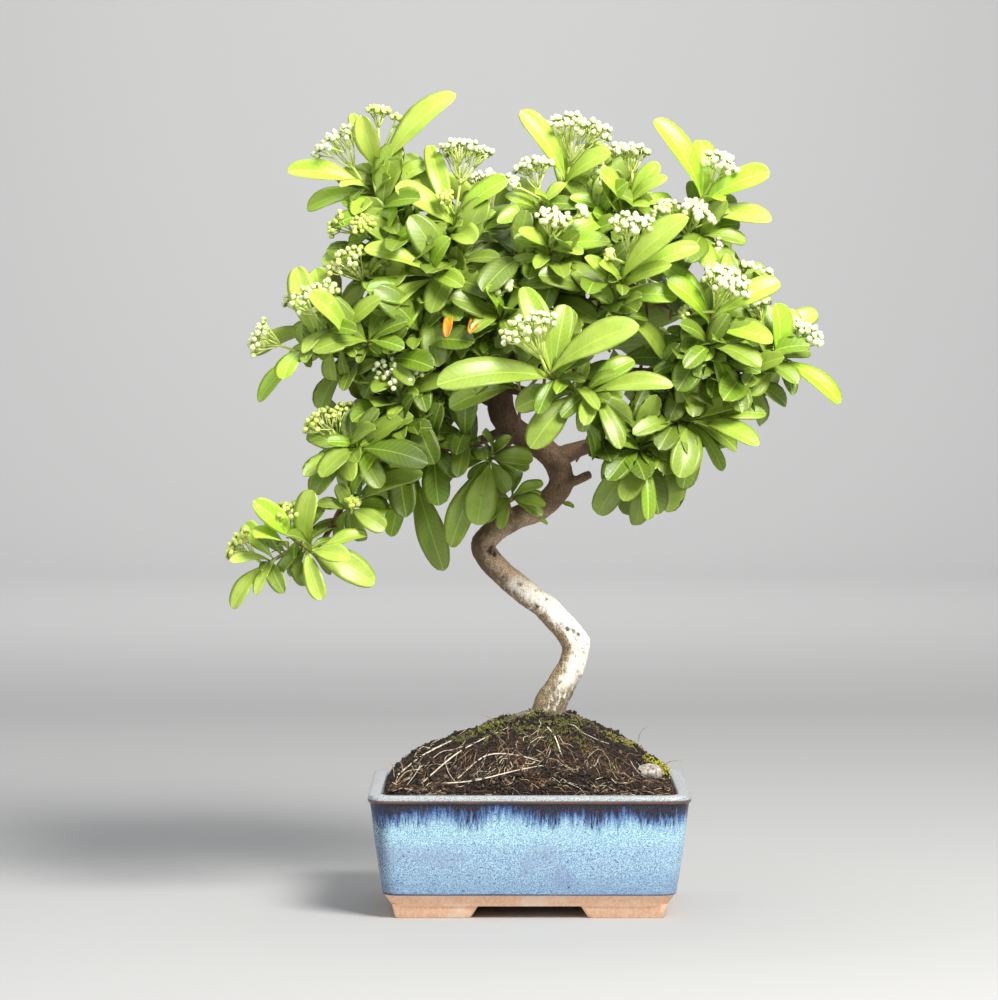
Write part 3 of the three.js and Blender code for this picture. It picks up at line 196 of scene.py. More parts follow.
# Branches: their radius at the foot and at the tip, and their line
BRANCHES = [
    (3.6, 1.5, [(-8, 2, 312), (-28, -3, 331), (-41, -9, 348), (-43, -14, 368)]),
    (2.8, 1.4, [(-27, -3, 330), (-52, 0, 346), (-72, 2, 370), (-82, 0, 394)]),
    (4.2, 1.5, [(-16, 0, 288), (-42, -8, 302), (-73, -22, 311), (-100, -33, 318)]),
    (3.4, 1.6, [(0, 5, 328), (20, -13, 333), (47, -40, 342)]),
    (3.4, 1.5, [(4, 6, 344), (32, 10, 350), (66, 11, 362), (92, 4, 384)]),
    (4.2, 1.5, [(-13, 0, 303), (25, -3, 305), (62, -12, 303), (98, -16, 303), (130, -18, 306)]),
    (5.4, 1.6, [(15, 0, 255), (36, -4, 262), (58, -9, 268), (88, -17, 276)]),
    (3.6, 1.7, [(-15, -2, 295), (2, -30, 292), (24, -63, 293)]),
    (3.2, 1.4, [
        (-8, 2, 268), (-19, -8, 259), (-42, -9, 262), (-68, -11, 263), (-90, -21, 253), (-101, -30, 237),
        (-107, -34, 224), (-118, -35, 207), (-124, -37, 205.5),
    ]),
    (4.2, 1.5, [(-16, 0, 284), (-34, 28, 292), (-54, 55, 299), (-70, 76, 306)]),
    (4.2, 1.5, [(-9, 2, 308), (10, 30, 313), (36, 52, 318), (58, 71, 323)]),
    (3.2, 1.5, [(2, 5, 338), (-9, 32, 356), (-20, 58, 372)]),
    (2.8, 1.4, [(6, 6, 352), (26, 26, 368), (48, 47, 389)]),
    (3.8, 1.5, [(14, 0, 250), (32, 30, 258), (50, 52, 262), (67, 69, 267)]),
    (3.4, 1.4, [(-10, 2, 271), (-32, 28, 262), (-58, 50, 256), (-82, 63, 252)]),
    (2.6, 1.4, [(-48, -10, 304), (-76, 12, 310), (-110, 30, 319)]),
    (2.4, 1.4, [(50, 10.5, 356), (80, 22, 340), (112, 31, 332)]),
    (3.4, 2.4, [(18, 0, 240), (27, -3, 242), (35, -4, 245.5)]),
]

# A leafy spray: its twig's line, its stems as fork and tip, how many leaves a rule adds, the leaves that
# the photograph shows as stem, place on it, tip and width, and its heads. A head has the number of its
# stem and its crowns: place, spread, buds and, where they aren't all white, the share that is.
Spray = namedtuple("Spray", "twig stems fill leaves heads fused", defaults=((), False))

SPRAYS = [
    # Top left
    Spray([(-82, 0, 394)], [(0, -85, -3, 420), (0.15, -94, -7, 410)], 2, [
        (0, 0.8, -41, -16, 461, 17), (0, 0.9, -94, -22, 447, 14), (0, 0.7, -105, 9, 446, 10),
        (1, 0.8, -135, -16, 416, 14), (1, 0.6, -106, -24, 407, 8), (1, 0.3, -98, -22, 391, 13),
    ], [(0, (-85, -3, 450, 9, 12, 0.6), (-74, -7, 446, 5.5, 6, 0.45)), (1, (-108, -9, 433, 17, 20))]),
    # Left of the crown's middle, high
    Spray([(-43, -14, 368)], [(0, -42, -16, 388)], 2, [
        (0, 0.5, -70, 6, 426, 13), (0, 0.8, -75, -28, 407, 15), (0, 0.9, -12, -26, 411, 14),
        (0, 0.6, -31, -42, 375, 16), (0, 0.4, -4, 4, 387, 13), (0, 0.95, -55, -2, 431, 12),
        (0, 0.9, -24, -36, 398, 8),
    ], [(0, (-36, -11, 427, 18, 26), (-47, -30, 401, 7, 9, 0.08))]),
    # Rosette under it
    Spray([(-39, -8, 345), (-50, -22, 352)], [(0, -56, -32, 360)], 1, [
        (0, 0.9, -92, -42, 372, 12), (0, 1, -44, -46, 378, 14), (0, 0.6, -37, -52, 351, 13),
        (0, 0.3, -3, -32, 357, 16), (0, 0.4, -84, -44, 335, 12), (0, 0.1, -80, -36, 319, 18),
    ]),
    # Left, between the top and the middle
    Spray([(-60, 1, 355), (-79, -14, 357)], [(0, -88, -18, 377), (0.1, -90, -27, 351)], 2, [
        (0, 0.8, -74, -28, 395, 14), (0, 0.6, -103, -24, 370, 12), (0, 0.9, -92, -5, 397, 12),
        (1, 0.3, -83, -36, 341, 11), (1, 0.6, -104, -20, 338, 11), (0, 0.5, -62, -24, 384, 12),
    ], [
        (0, (-108, -20, 386, 10, 9, 0.2), (-93, -31, 386, 9, 11, 0.15)),
        (1, (-102, -34, 366, 14, 17, 0.45)),
    ]),
    # Left end of the middle
    Spray([(-100, -33, 318)], [(0, -113, -40, 328), (0.1, -129, -40, 315)], 1, [
        (0, 0.5, -120, -22, 361, 16), (0, 0.3, -82, -52, 345, 13), (0, 0.4, -131, -68, 344, 14),
        (1, 0.5, -130, -28, 362, 16), (1, 0.6, -151, -38, 287, 12), (1, 0.9, -136, -60, 300, 15),
        (0, 0.1, -114, -50, 310, 9), (0, 0.2, -89, -48, 325, 8), (1, 0.3, -110, -28, 299, 11),
    ], [(0, (-119, -49, 346, 17, 22, 0.7)), (1, (-150, -42, 323, 13, 17, 0.7))]),
    # Middle, behind the front head
    Spray([(0, 4, 326), (-13, -28, 325)], [(0, -17, -36, 336)], 2, [
        (0, 0.8, -27, -50, 355, 10), (0, 0.7, 11, -38, 361, 11), (0, 0.5, -33, -48, 330, 10),
        (0, 0.2, -42, -14, 346, 12), (0, 0.3, -52, -26, 320, 14),
    ], [(0, (-17, -43, 352, 10, 13))]),
    # Front, with the largest leaves
    Spray([(24, -63, 293)], [(0, 9, -88, 305), (0.1, 36, -82, 291)], 1, [
        (0, 0.9, 59, -98, 330, 20), (0, 0.55, -51, -108, 298, 20), (0, 0.95, -4, -78, 351, 16),
        (0, 0.9, 14, -82, 344, 15), (0, 0.3, 14, -98, 293, 8), (0, 0.2, 14, -66, 313, 11),
        (1, 0.2, -8, -72, 284, 16), (1, 0.3, 0, -88, 263, 18), (1, 0.8, 29, -106, 276, 10),
        (1, 0.9, 49, -98, 263, 11), (1, 0.8, 78, -88, 297, 13), (1, 0.5, 57, -70, 311, 13),
        (1, 1, 46, -100, 304, 8), (1, 0.6, 56, -68, 277, 11), (1, 1, 36, -104, 279, 8),
    ], [(0, (-1, -98, 329, 18, 30, 0.85))]),
    # Top middle
    Spray([(11, 4, 373.5)], [(0, 21, 1, 412), (0.12, 6, -18, 398)], 2, [
        (0, 0.95, -5, -8, 450, 14), (0, 0.95, 52, -14, 423, 14), (0, 0.5, 31, -10, 400, 11),
        (0, 0.7, 18, 16, 438, 12), (1, 0.3, 3, -38, 403, 10), (1, 0.5, -14, -22, 402, 9),
        (1, 0.9, 22, -28, 408, 9), (0, 0.6, 34, -4, 414, 9),
    ], [
        (0, (28, 0, 441, 21, 36), (41, -11, 414, 9, 10)),
        (1, (2, -17, 419, 14, 20), (-9, -27, 409, 6, 7)),
    ]),
    # Top, right of the middle
    Spray([(24, 8, 348), (42, 0, 374), (47, -4, 386)], [(0, 58, -8, 399)], 2, [
        (0, 0.9, 77, -14, 419, 12), (0, 0.95, 79, -20, 412, 9), (0, 0.5, 67, -24, 396, 8),
        (0, 0.7, 81, 4, 400, 9), (0, 0.1, 40, -28, 410, 17), (0, 0.1, 24, -24, 398, 10),
    ], [(0, (58, -8, 427, 12, 17))]),
    # Middle, high, in front
    Spray([(5, 6, 346), (11, -29, 364)], [(0, 11, -38, 373)], 2, [
        (0, 0.2, 26, -48, 349, 14), (0, 0.4, 3, -56, 361, 9), (0, 0.5, -9, -48, 378, 9),
        (0, 0.5, 45, -44, 376, 13), (0, 0.8, 45, -30, 385, 15), (0, 0.3, -11, -34, 364, 9),
        (0, 0.1, 42, -46, 337, 15),
    ], [(0, (13, -46, 389, 12, 14), (29, -44, 393, 6, 6))]),
    # Right of the middle, in front
    Spray([(47, -40, 342)], [(0, 53, -48, 361)], 1, [
        (0, 0.2, 24, -58, 365, 10), (0, 0.3, 78, -62, 363, 11), (0, 0.6, 90, -68, 389, 17),
        (0, 0.5, 94, -50, 373, 12), (0, 0.4, 38, -64, 364, 10), (0, 0.2, 82, -42, 345, 14),
        (0, 0.1, 66, -38, 329, 14),
    ], [(0, (57, -56, 385, 16, 24), (44, -60, 369, 5, 5, 0.35))]),
    # Top right
    Spray([(92, 4, 384)], [(0, 98, -2, 401), (0.1, 88, -12, 378)], 2, [
        (0, 0.9, 70, -10, 445, 16), (0, 0.9, 97, 8, 434, 15), (0, 0.95, 132, -14, 421, 16),
        (0, 0.3, 136, -16, 388, 15), (0, 0.95, 108, -28, 399, 10), (1, 0.6, 97, -32, 361, 14),
    ], [
        (0, (109, -9, 420, 14, 19)),
        (1, (94, -22, 393, 13, 18), (75, -22, 395, 9, 10, 0.7), (106, -17, 374, 6, 6)),
    ]),
    # Right
    Spray([(88, -16, 303), (98, -28, 320)], [(0, 102, -35, 335)], 2, [
        (0, 0.6, 76, -46, 355, 15), (0, 0.95, 136, -36, 359, 14), (0, 0.4, 134, -54, 320, 16),
        (0, 0.1, 95, -48, 310, 12), (0, 0.1, 92, -26, 298, 14), (0, 0.2, 121, -26, 324, 10),
        (0, 0.9, 112, -22, 370, 8),
    ], [(0, (110, -43, 354, 17, 28), (86, -42, 337, 6, 6, 0.4))]),
    # Far right
    Spray([(130, -18, 306)], [(0, 145, -20, 313), (0.1, 131, -13, 325)], 2, [
        (0, 0.6, 175, -28, 286, 14), (0, 0.5, 137, -32, 342, 16), (0, 0.8, 146, -12, 339, 14),
        (0, 0.15, 106, -32, 319, 12), (0, 0.1, 122, -32, 291, 14), (0, 0.05, 109, -27, 290, 12),
        (0, 0.2, 130, -12, 292, 7),
    ], [(0, (157, -24, 325, 12, 16)), (1, (128, -14, 342, 9, 12))]),
    # Rosette under the right side
    Spray([(88, -17, 276)], [(0, 93, -27, 275)], 0, [
        (0, 0.8, 79, -38, 308, 13), (0, 0.9, 83, -46, 245, 18), (0, 0.4, 86, -24, 238, 14),
        (0, 0.6, 108, -30, 248, 9), (0, 0.9, 120, -42, 287, 14), (0, 0.5, 133, -22, 280, 12),
        (0, 0.8, 127, -50, 263, 15), (0, 0.4, 114, -18, 256, 12), (0, 1, 93, -44, 295, 7),
        (0, 0.3, 75, -26, 286, 8), (0, 0.2, 72, -12, 241, 10),
    ]),
    # Hanging leaves right of the trunk
    Spray([(52, -8, 267), (61, -21, 261)], [(0, 64, -30, 256)], 1, [
        (0, 0.3, 70, -44, 250, 9), (0, 0.8, 52, -44, 232, 15), (0, 0.5, 38, -30, 224, 16),
        (0, 0.9, 66, -38, 221, 9), (0, 0.6, 60, -18, 217, 13), (0, 0.2, 44, -40, 265, 8),
    ]),
    # Left of the trunk
    Spray([(-24, -8, 259.5), (-22, -15, 256)], [(0, -22, -22, 252)], 1, [
        (0, 0.5, 2, -30, 254, 13), (0, 0.9, -29, -34, 218, 19), (0, 0.6, -44, -22, 205, 16),
        (0, 0.3, -12, -20, 236, 12),
    ]),
    # Small shoot on the trunk
    Spray([(-10, -2, 222), (-12, -12, 230)], [(0, -9, -19, 234)], 0, [
        (0, 0.6, -25, -28, 219, 8), (0, 0.7, 9, -32, 229, 9), (0, 0.95, 8, -28, 241, 8),
    ]),
    # Left, under the middle
    Spray([(-50, -9.5, 262.5), (-61, -14, 275), (-67, -18, 284)], [(0, -72, -25, 292)], 2, [
        (0, 0.3, -81, -38, 263, 13), (0, 0.6, -45, -36, 300, 13), (0, 0.6, -89, -48, 321, 13),
        (0, 0.4, -97, -20, 309, 15), (0, 0.15, -53, -34, 252, 14), (0, 0.9, -62, -44, 291, 7),
        (0, 0.2, -54, -18, 277, 11),
    ], [(0, (-73, -35, 304, 16, 20))]),
    # Left, over the hanging branch
    Spray([(-80, -16, 258.5), (-96, -23, 262)], [(0, -104, -28, 259)], 2, [
        (0, 0.8, -96, -40, 267, 9), (0, 0.6, -111, -28, 246, 7), (0, 0.2, -103, -42, 243, 10),
        (0, 0.4, -98, -12, 284, 13),
    ], [(0, (-114, -31, 278, 16, 20, 0.3), (-100, -19, 283, 8, 8, 0.2))]),
    # On the hanging branch
    Spray([(-102.5, -31, 234), (-101, -36, 231)], [(0, -99, -43, 226)], 0, [
        (0, 0.3, -59, -48, 248, 14), (0, 0.3, -84, -50, 262, 10), (0, 0.8, -83, -54, 214, 13),
        (0, 0.7, -117, -46, 229, 8), (0, 0.4, -80, -32, 227, 13), (0, 0.5, -106, -48, 241, 8),
    ], [(0, (-98, -49, 232, 6, 8, 0.1))], True),
    # End of the hanging branch
    Spray([(-124, -37, 205.5)], [(0, -133, -42, 212), (0.4, -148, -38, 196), (0.4, -118, -50, 202)], 1, [
        (0, 0.8, -160, -52, 235, 14), (2, 0.5, -120, -58, 239, 16), (1, 0.3, -152, -62, 213, 16),
        (2, 0.4, -115, -56, 178, 11), (2, 0.7, -99, -62, 201, 12), (2, 0.2, -86, -46, 186, 18),
        (2, 0.9, -90, -48, 214, 9), (1, 0.9, -165, -44, 172, 12), (1, 0.6, -152, -50, 180, 8),
        (1, 0.9, -166, -54, 199, 9), (1, 0.8, -160, -20, 218, 12),
    ], [(0, (-134, -44, 226, 15, 26, 0.25)), (1, (-163, -38, 208, 12, 20, 0.15))]),
    # Under the left side, behind
    Spray([(-60, -10, 262.8), (-65, 6, 252)], [(0, -66, 10, 241)], 2, [
        (0, 0.8, -77, 4, 207, 12), (0, 0.6, -55, 2, 188, 17), (0, 0.4, -88, 12, 226, 12),
    ], [(0, (-70, 6, 229, 11, 14, 0.2))], True),
]

# Sprays at the back and behind: the foot and tip of the stem, leaves by rule, and the head's crown
BACK_SPRAYS = [
    ((-70, 76, 306), (-79, 87, 318), 7, (-84, 91, 336, 15, 18)),
    ((58, 71, 323), (66, 81, 337), 7, (70, 84, 355, 15, 18)),
    ((-20, 58, 372), (-22, 68, 393), 7, (-24, 70, 413, 16, 20)),
    ((48, 47, 389), (52, 54, 409), 7, (54, 55, 429, 14, 18)),
    ((67, 69, 267), (81, 80, 273), 7, (88, 86, 286, 12, 14)),
    ((-82, 63, 252), (-97, 72, 255), 7, (-107, 77, 266, 12, 14)),
    ((-110, 30, 319), (-125, 36, 329), 6, (-132, 39, 346, 13, 16)),
    ((112, 31, 332), (125, 37, 343), 6, (130, 40, 360, 13, 16)),
]
for foot, tip, fill, crown in BACK_SPRAYS:
    SPRAYS.append(Spray([foot], [(0, *tip)], fill, [], [(0, crown)], True))


def tree_of(points):
    """The points in a tree that finds the nearest one to a place."""
    tree = kdtree.KDTree(len(points))
    for i, p in enumerate(points):
        tree.insert(p, i)
    tree.balance()
    return tree


def smoothstep(low, high, value):
    t = min(1, max(0, (value - low) / (high - low)))
    return t * t * (3 - 2 * t)


def linked(name, data):
    """A new object in the scene."""
    item = bpy.data.objects.new(name, data)
    bpy.context.scene.collection.objects.link(item)
    return item


class Sheet:
    """Points, faces and what they wear, gathered before they become one object."""

    def __init__(self):
        self.points = []
        self.faces = []
        self.slots = []
        self.places = []
        self.tints = []

    def point(self, p, place=(0, 0), tint=(0, 0, 0)):
        self.points.append((p[0], p[1], p[2]))
        self.places.append(place)
        self.tints.append((tint[0], tint[1], tint[2], 1))
        return len(self.points) - 1

    def face(self, corners, slot=0):
        self.faces.append(corners)
        self.slots.append(slot)

    def loft(self, rings, slot_of=lambda i: 0, capped=True):
        """Joins rows of point numbers. A row of one point closes the surface there."""
        for lower, upper in zip(rings, rings[1:]):
            count = max(len(lower), len(upper))
            for i in range(count):
                j = (i + 1) % count
                around = [row[k % len(row)] for row, k in ((lower, i), (lower, j), (upper, j), (upper, i))]
                self.face(tuple(dict.fromkeys(around)), slot_of(i))
        if capped and len(rings[0]) > 2:
            self.face(tuple(reversed(rings[0])), slot_of(0))
        if capped and len(rings[-1]) > 2:
            self.face(tuple(rings[-1]), slot_of(0))

    def make(self, name, materials, smooth=True):
        mesh = bpy.data.meshes.new(name)
        points = np.clip(np.array(self.points), BOX_LOW, BOX_HIGH) * MM
        mesh.from_pydata(points.tolist(), [], self.faces)
        mesh.polygons.foreach_set("material_index", self.slots)
        mesh.polygons.foreach_set("use_smooth", [smooth] * len(self.faces))
        corner_points = np.zeros(len(mesh.loops), np.int32)
        mesh.loops.foreach_get("vertex_index", corner_points)
        layer = mesh.uv_layers.new(name="place")
        layer.data.foreach_set("uv", np.array(self.places, np.float32)[corner_points].ravel())
        tint = mesh.color_attributes.new("tint", "FLOAT_COLOR", "POINT")
        tint.data.foreach_set("color", np.array(self.tints, np.float32).ravel())
        mesh.update()
        piece = linked(name, mesh)
        for material in materials:
            mesh.materials.append(material)
        return piece


def applied(piece):
    """Puts the result of the piece's modifiers in its mesh."""
    graph = bpy.context.evaluated_depsgraph_get()
    mesh = bpy.data.meshes.new_from_object(piece.evaluated_get(graph))
    piece.modifiers.clear()
    old = piece.data
    piece.data = mesh
    bpy.data.meshes.remove(old)
    return piece


# Shader helpers
class Shader:
    """A material being built: most methods add a node and return its output."""

    def __init__(self, name):
        self.material = bpy.data.materials.new(name)
        self.material.use_nodes = True
        self.tree = self.material.node_tree
        self.surface = self.tree.nodes["Principled BSDF"]
        self.coordinates = self.tree.nodes.new("ShaderNodeTexCoord")
        self.geometry = self.tree.nodes.new("ShaderNodeNewGeometry")

    def put(self, value, socket):
        """Links a node's output, or sets a number or a display colour from 0 to 255."""
        if isinstance(value, bpy.types.NodeSocket):
            self.tree.links.new(value, socket)
        elif isinstance(value, tuple) and len(value) == 3:
            socket.default_value = (*srgb(*value), 1)
        else:
            socket.default_value = value

    def add(self, kind, inputs, output=None, **settings):
        """Adds a node and returns one output, or all of them."""
        node = self.tree.nodes.new("ShaderNode" + kind)
        for name, value in settings.items():
            setattr(node, name, value)
        for socket, value in inputs.items():
            self.put(value, node.inputs[socket])
        return node.outputs[output] if output else node.outputs

    def object_place(self, stretch=1):
        place = self.coordinates.outputs["Object"]
        return self.add("Mapping", {"Vector": place, "Scale": Vector((1, 1, stretch))}, "Vector")

    def leaf_place(self):
        return self.add("UVMap", {}, "UV", uv_map="place")

    def tint_colour(self):
        return self.add("VertexColor", {}, "Color", layer_name="tint")

    def tint(self):
        return self.add("SeparateColor", {"Color": self.tint_colour()})

    def split(self, vector):
        return self.add("SeparateXYZ", {"Vector": vector})

    def noise(self, scale, detail=2, roughness=0.5, stretch=1):
        place = self.object_place(stretch)
        inputs = {"Vector": place, "Scale": scale, "Detail": detail, "Roughness": roughness}
        return self.add("TexNoise", inputs, "Fac")

    def cells(self, scale):
        return self.add("TexVoronoi", {"Vector": self.object_place(), "Scale": scale}, "Distance")

    def math(self, operation, a, b=0):
        return self.add("Math", {0: a, 1: b}, "Value", operation=operation)

    def times(self, a, b):
        return self.math("MULTIPLY", a, b)

    def plus(self, a, b):
        return self.math("ADD", a, b)

    def swing(self, value, reach):
        """A noise value as a swing about nought."""
        return self.times(self.math("SUBTRACT", value, 0.5), reach)

    def remap(self, value, low, high, to_low=0, to_high=1):
        inputs = {"Value": value, "From Min": low, "From Max": high, "To Min": to_low, "To Max": to_high}
        return self.add("MapRange", inputs, "Result", interpolation_type="SMOOTHSTEP")

    def mix(self, share, a, b):
        return self.add("Mix", {"Factor": share, "A": a, "B": b}, "Result", data_type="RGBA")

    def bump(self, height, strength, distance, below=None):
        inputs = {"Strength": strength, "Distance": distance, "Height": height}
        if below is not None:
            inputs["Normal"] = below
        return self.add("Bump", inputs, "Normal")

    def finish(self, colour, roughness, normal=None, **plain):
        self.put(colour, self.surface.inputs["Base Color"])
        self.put(roughness, self.surface.inputs["Roughness"])
        if normal is not None:
            self.put(normal, self.surface.inputs["Normal"])
        for socket, value in plain.items():
            self.surface.inputs[socket.replace("_", " ")].default_value = value
        return self.material


def srgb(*colour):
    """A display colour from 0 to 255 as the linear one that a shader takes."""
    def linear(value):
        share = value / 255
        return share / 12.92 if share <= 0.04045 else ((share + 0.055) / 1.055) ** 2.4
    return tuple(linear(v) for v in colour)


# Materials: heights and bump distances in them are metres
def leaf_material(name, is_under):
    """Leaf green: tint red is age with painted light and shade in it, green a draw per leaf, blue the
    distance from the midrib.
    """
    s = Shader(name)
    age_and_shade, draw, edge = s.tint()[:3]
    u, v = s.split(s.leaf_place())[:2]
    grain = s.noise(900, 3)
    patches = s.noise(130, 2)
    young = s.mix(draw, (162, 206, 42), (212, 232, 102))
    # Old green, reaching near black: partly painted shade for leaves deep in the crown
    old = s.mix(s.remap(draw, 0.2, 0.9), (38, 56, 4), (140, 164, 56))
    colour = s.mix(age_and_shade, young, old)
    colour = s.mix(s.remap(patches, 0.35, 0.7, 0, 0.28), colour, s.mix(age_and_shade, (140, 193, 26), (66, 92, 20)))
    along = s.math("SUBTRACT", v, s.times(s.math("ABSOLUTE", u), 0.75))
    wave = s.math("ABSOLUTE", s.math("SINE", s.times(along, 100)))
    side_vein = s.remap(wave, 0.0, 0.34, 1, 0)
    midrib = s.remap(s.math("ABSOLUTE", u), 0.0012, 0.0052, 1, 0)
    vein = s.math("MAXIMUM", s.times(side_vein, 0.3), s.times(midrib, 0.8))
    vein_colour = s.mix(age_and_shade, (236, 248, 132), (160, 186, 84))
    colour = s.mix(s.times(vein, 0.7), colour, vein_colour)
    # Paler margin: painted light that brightens the blade's shaded rim
    colour = s.mix(s.remap(edge, 0.86, 1.0, 0, 0.55), colour, s.mix(age_and_shade, (214, 238, 106), (126, 152, 56)))
    faded = s.mix(s.remap(patches, 0.35, 0.65), (170, 92, 16), (222, 148, 34))
    colour = s.mix(s.remap(age_and_shade, 1.2, 1.5), colour, faded)
    if is_under:
        colour = s.mix(0.45, colour, s.mix(age_and_shade, (214, 234, 112), (156, 180, 88)))
        height = vein
        roughness = s.remap(grain, 0.3, 0.7, 0.5, 0.66)
    else:
        height = s.times(vein, -1)
        roughness = s.remap(grain, 0.3, 0.7, 0.32, 0.46)
    normal = s.bump(height, 0.16, 0.0006)
    normal = s.bump(grain, 0.12, 0.0004, normal)
    return s.finish(colour, roughness, normal, Subsurface_Weight=0.08, Subsurface_Scale=0.001,
                    Specular_IOR_Level=0.55)


def bark_material():
    """Bark by height: cream below, brown to dark above, with painted shade on the side facing left. Tint:
    green on twigs, blue at knots.
    """
    s = Shader("bark")
    _, twig, knot = s.tint()[:3]
    z = s.split(s.coordinates.outputs["Object"])[2]
    facing = s.split(s.geometry.outputs["Normal"])[0]
    lumps = s.noise(60, 3)
    patches = s.noise(190, 4, 0.65)
    fine = s.noise(1500, 4, 0.65)
    grain = s.noise(560, 4, 0.6, stretch=0.5)
    height = s.plus(z, s.swing(lumps, 0.045))
    pale = s.mix(s.remap(fine, 0.3, 0.7), (220, 210, 188), (255, 253, 246))
    pale = s.mix(s.remap(patches, 0.56, 0.7, 0, 0.35), pale, (206, 184, 150))
    # Painted light and shade: the side facing left takes dark brown, the side facing right pale cream
    left = s.mix(s.remap(fine, 0.4, 0.6), (84, 62, 42), (196, 172, 132))
    shade = s.plus(facing, s.swing(patches, 1.4))
    lower = s.mix(s.remap(shade, -0.6, -0.05), left, pale)
    beige = s.mix(s.remap(fine, 0.3, 0.7), (132, 102, 74), (216, 194, 162))
    # Painted shade darkens the middle bark on the side facing left
    beige = s.mix(s.remap(shade, -0.5, 0.3, 0.85, 0), beige, (78, 56, 38))
    brown = s.mix(s.remap(fine, 0.3, 0.7), (82, 58, 42), (152, 124, 96))
    dark = s.mix(s.remap(fine, 0.3, 0.7), (46, 30, 22), (108, 80, 58))
    colour = s.mix(s.remap(height, 0.172, 0.192), lower, beige)
    colour = s.mix(s.remap(height, 0.205, 0.228), colour, brown)
    colour = s.mix(s.remap(height, 0.235, 0.285), colour, dark)
    colour = s.mix(s.remap(grain, 0.55, 0.68, 0, 0.35), colour, (66, 48, 34))
    thin = s.mix(s.remap(grain, 0.35, 0.65), (84, 54, 36), (140, 104, 74))
    colour = s.mix(twig, colour, thin)
    mossy = s.times(s.remap(height, 0.131, 0.112), s.remap(grain, 0.34, 0.52))
    colour = s.mix(mossy, colour, s.mix(s.remap(fine, 0.36, 0.64), (58, 44, 28), (172, 154, 118)))
    colour = s.mix(s.remap(z, 0.116, 0.108, 0, 0.8), colour, (64, 56, 38))
    ridge = s.math("ABSOLUTE", s.math("SUBTRACT", s.noise(120, 3, stretch=0.5), 0.5))
    crack = s.times(s.remap(ridge, 0.002, 0.012, 1, 0), s.remap(patches, 0.5, 0.58))
    dots = s.cells(210)
    spot = s.times(s.remap(dots, 0.09, 0.14, 1, 0), s.remap(lumps, 0.5, 0.58))
    mark = s.math("MAXIMUM", s.times(crack, 0.7), s.times(spot, 0.8))
    mark = s.math("MAXIMUM", mark, s.times(knot, s.remap(grain, 0.2, 0.5)))
    colour = s.mix(mark, colour, (54, 38, 27))
    normal = s.bump(s.times(mark, -1), 0.5, 0.0008)
    normal = s.bump(grain, 0.4, 0.0009, normal)
    normal = s.bump(fine, 0.3, 0.0004, normal)
    return s.finish(colour, s.remap(fine, 0.3, 0.7, 0.68, 0.9), normal)


def bud_material():
    """A bud: tint red is how white it is, green a draw, blue the way from its foot to its top."""
    s = Shader("flower_bud")
    ripe, draw, along = s.tint()[:3]
    grain = s.noise(1500, 2)
    white = s.mix(draw, (222, 226, 182), (241, 243, 218))
    green = s.mix(draw, (184, 204, 76), (224, 232, 130))
    colour = s.mix(ripe, green, white)
    colour = s.mix(s.remap(along, 0.42, 0.24), colour, (134, 160, 50))
    return s.finish(colour, s.remap(grain, 0.3, 0.7, 0.4, 0.55), s.bump(grain, 0.2, 0.0003),
                    Subsurface_Weight=0.15, Subsurface_Scale=0.002)


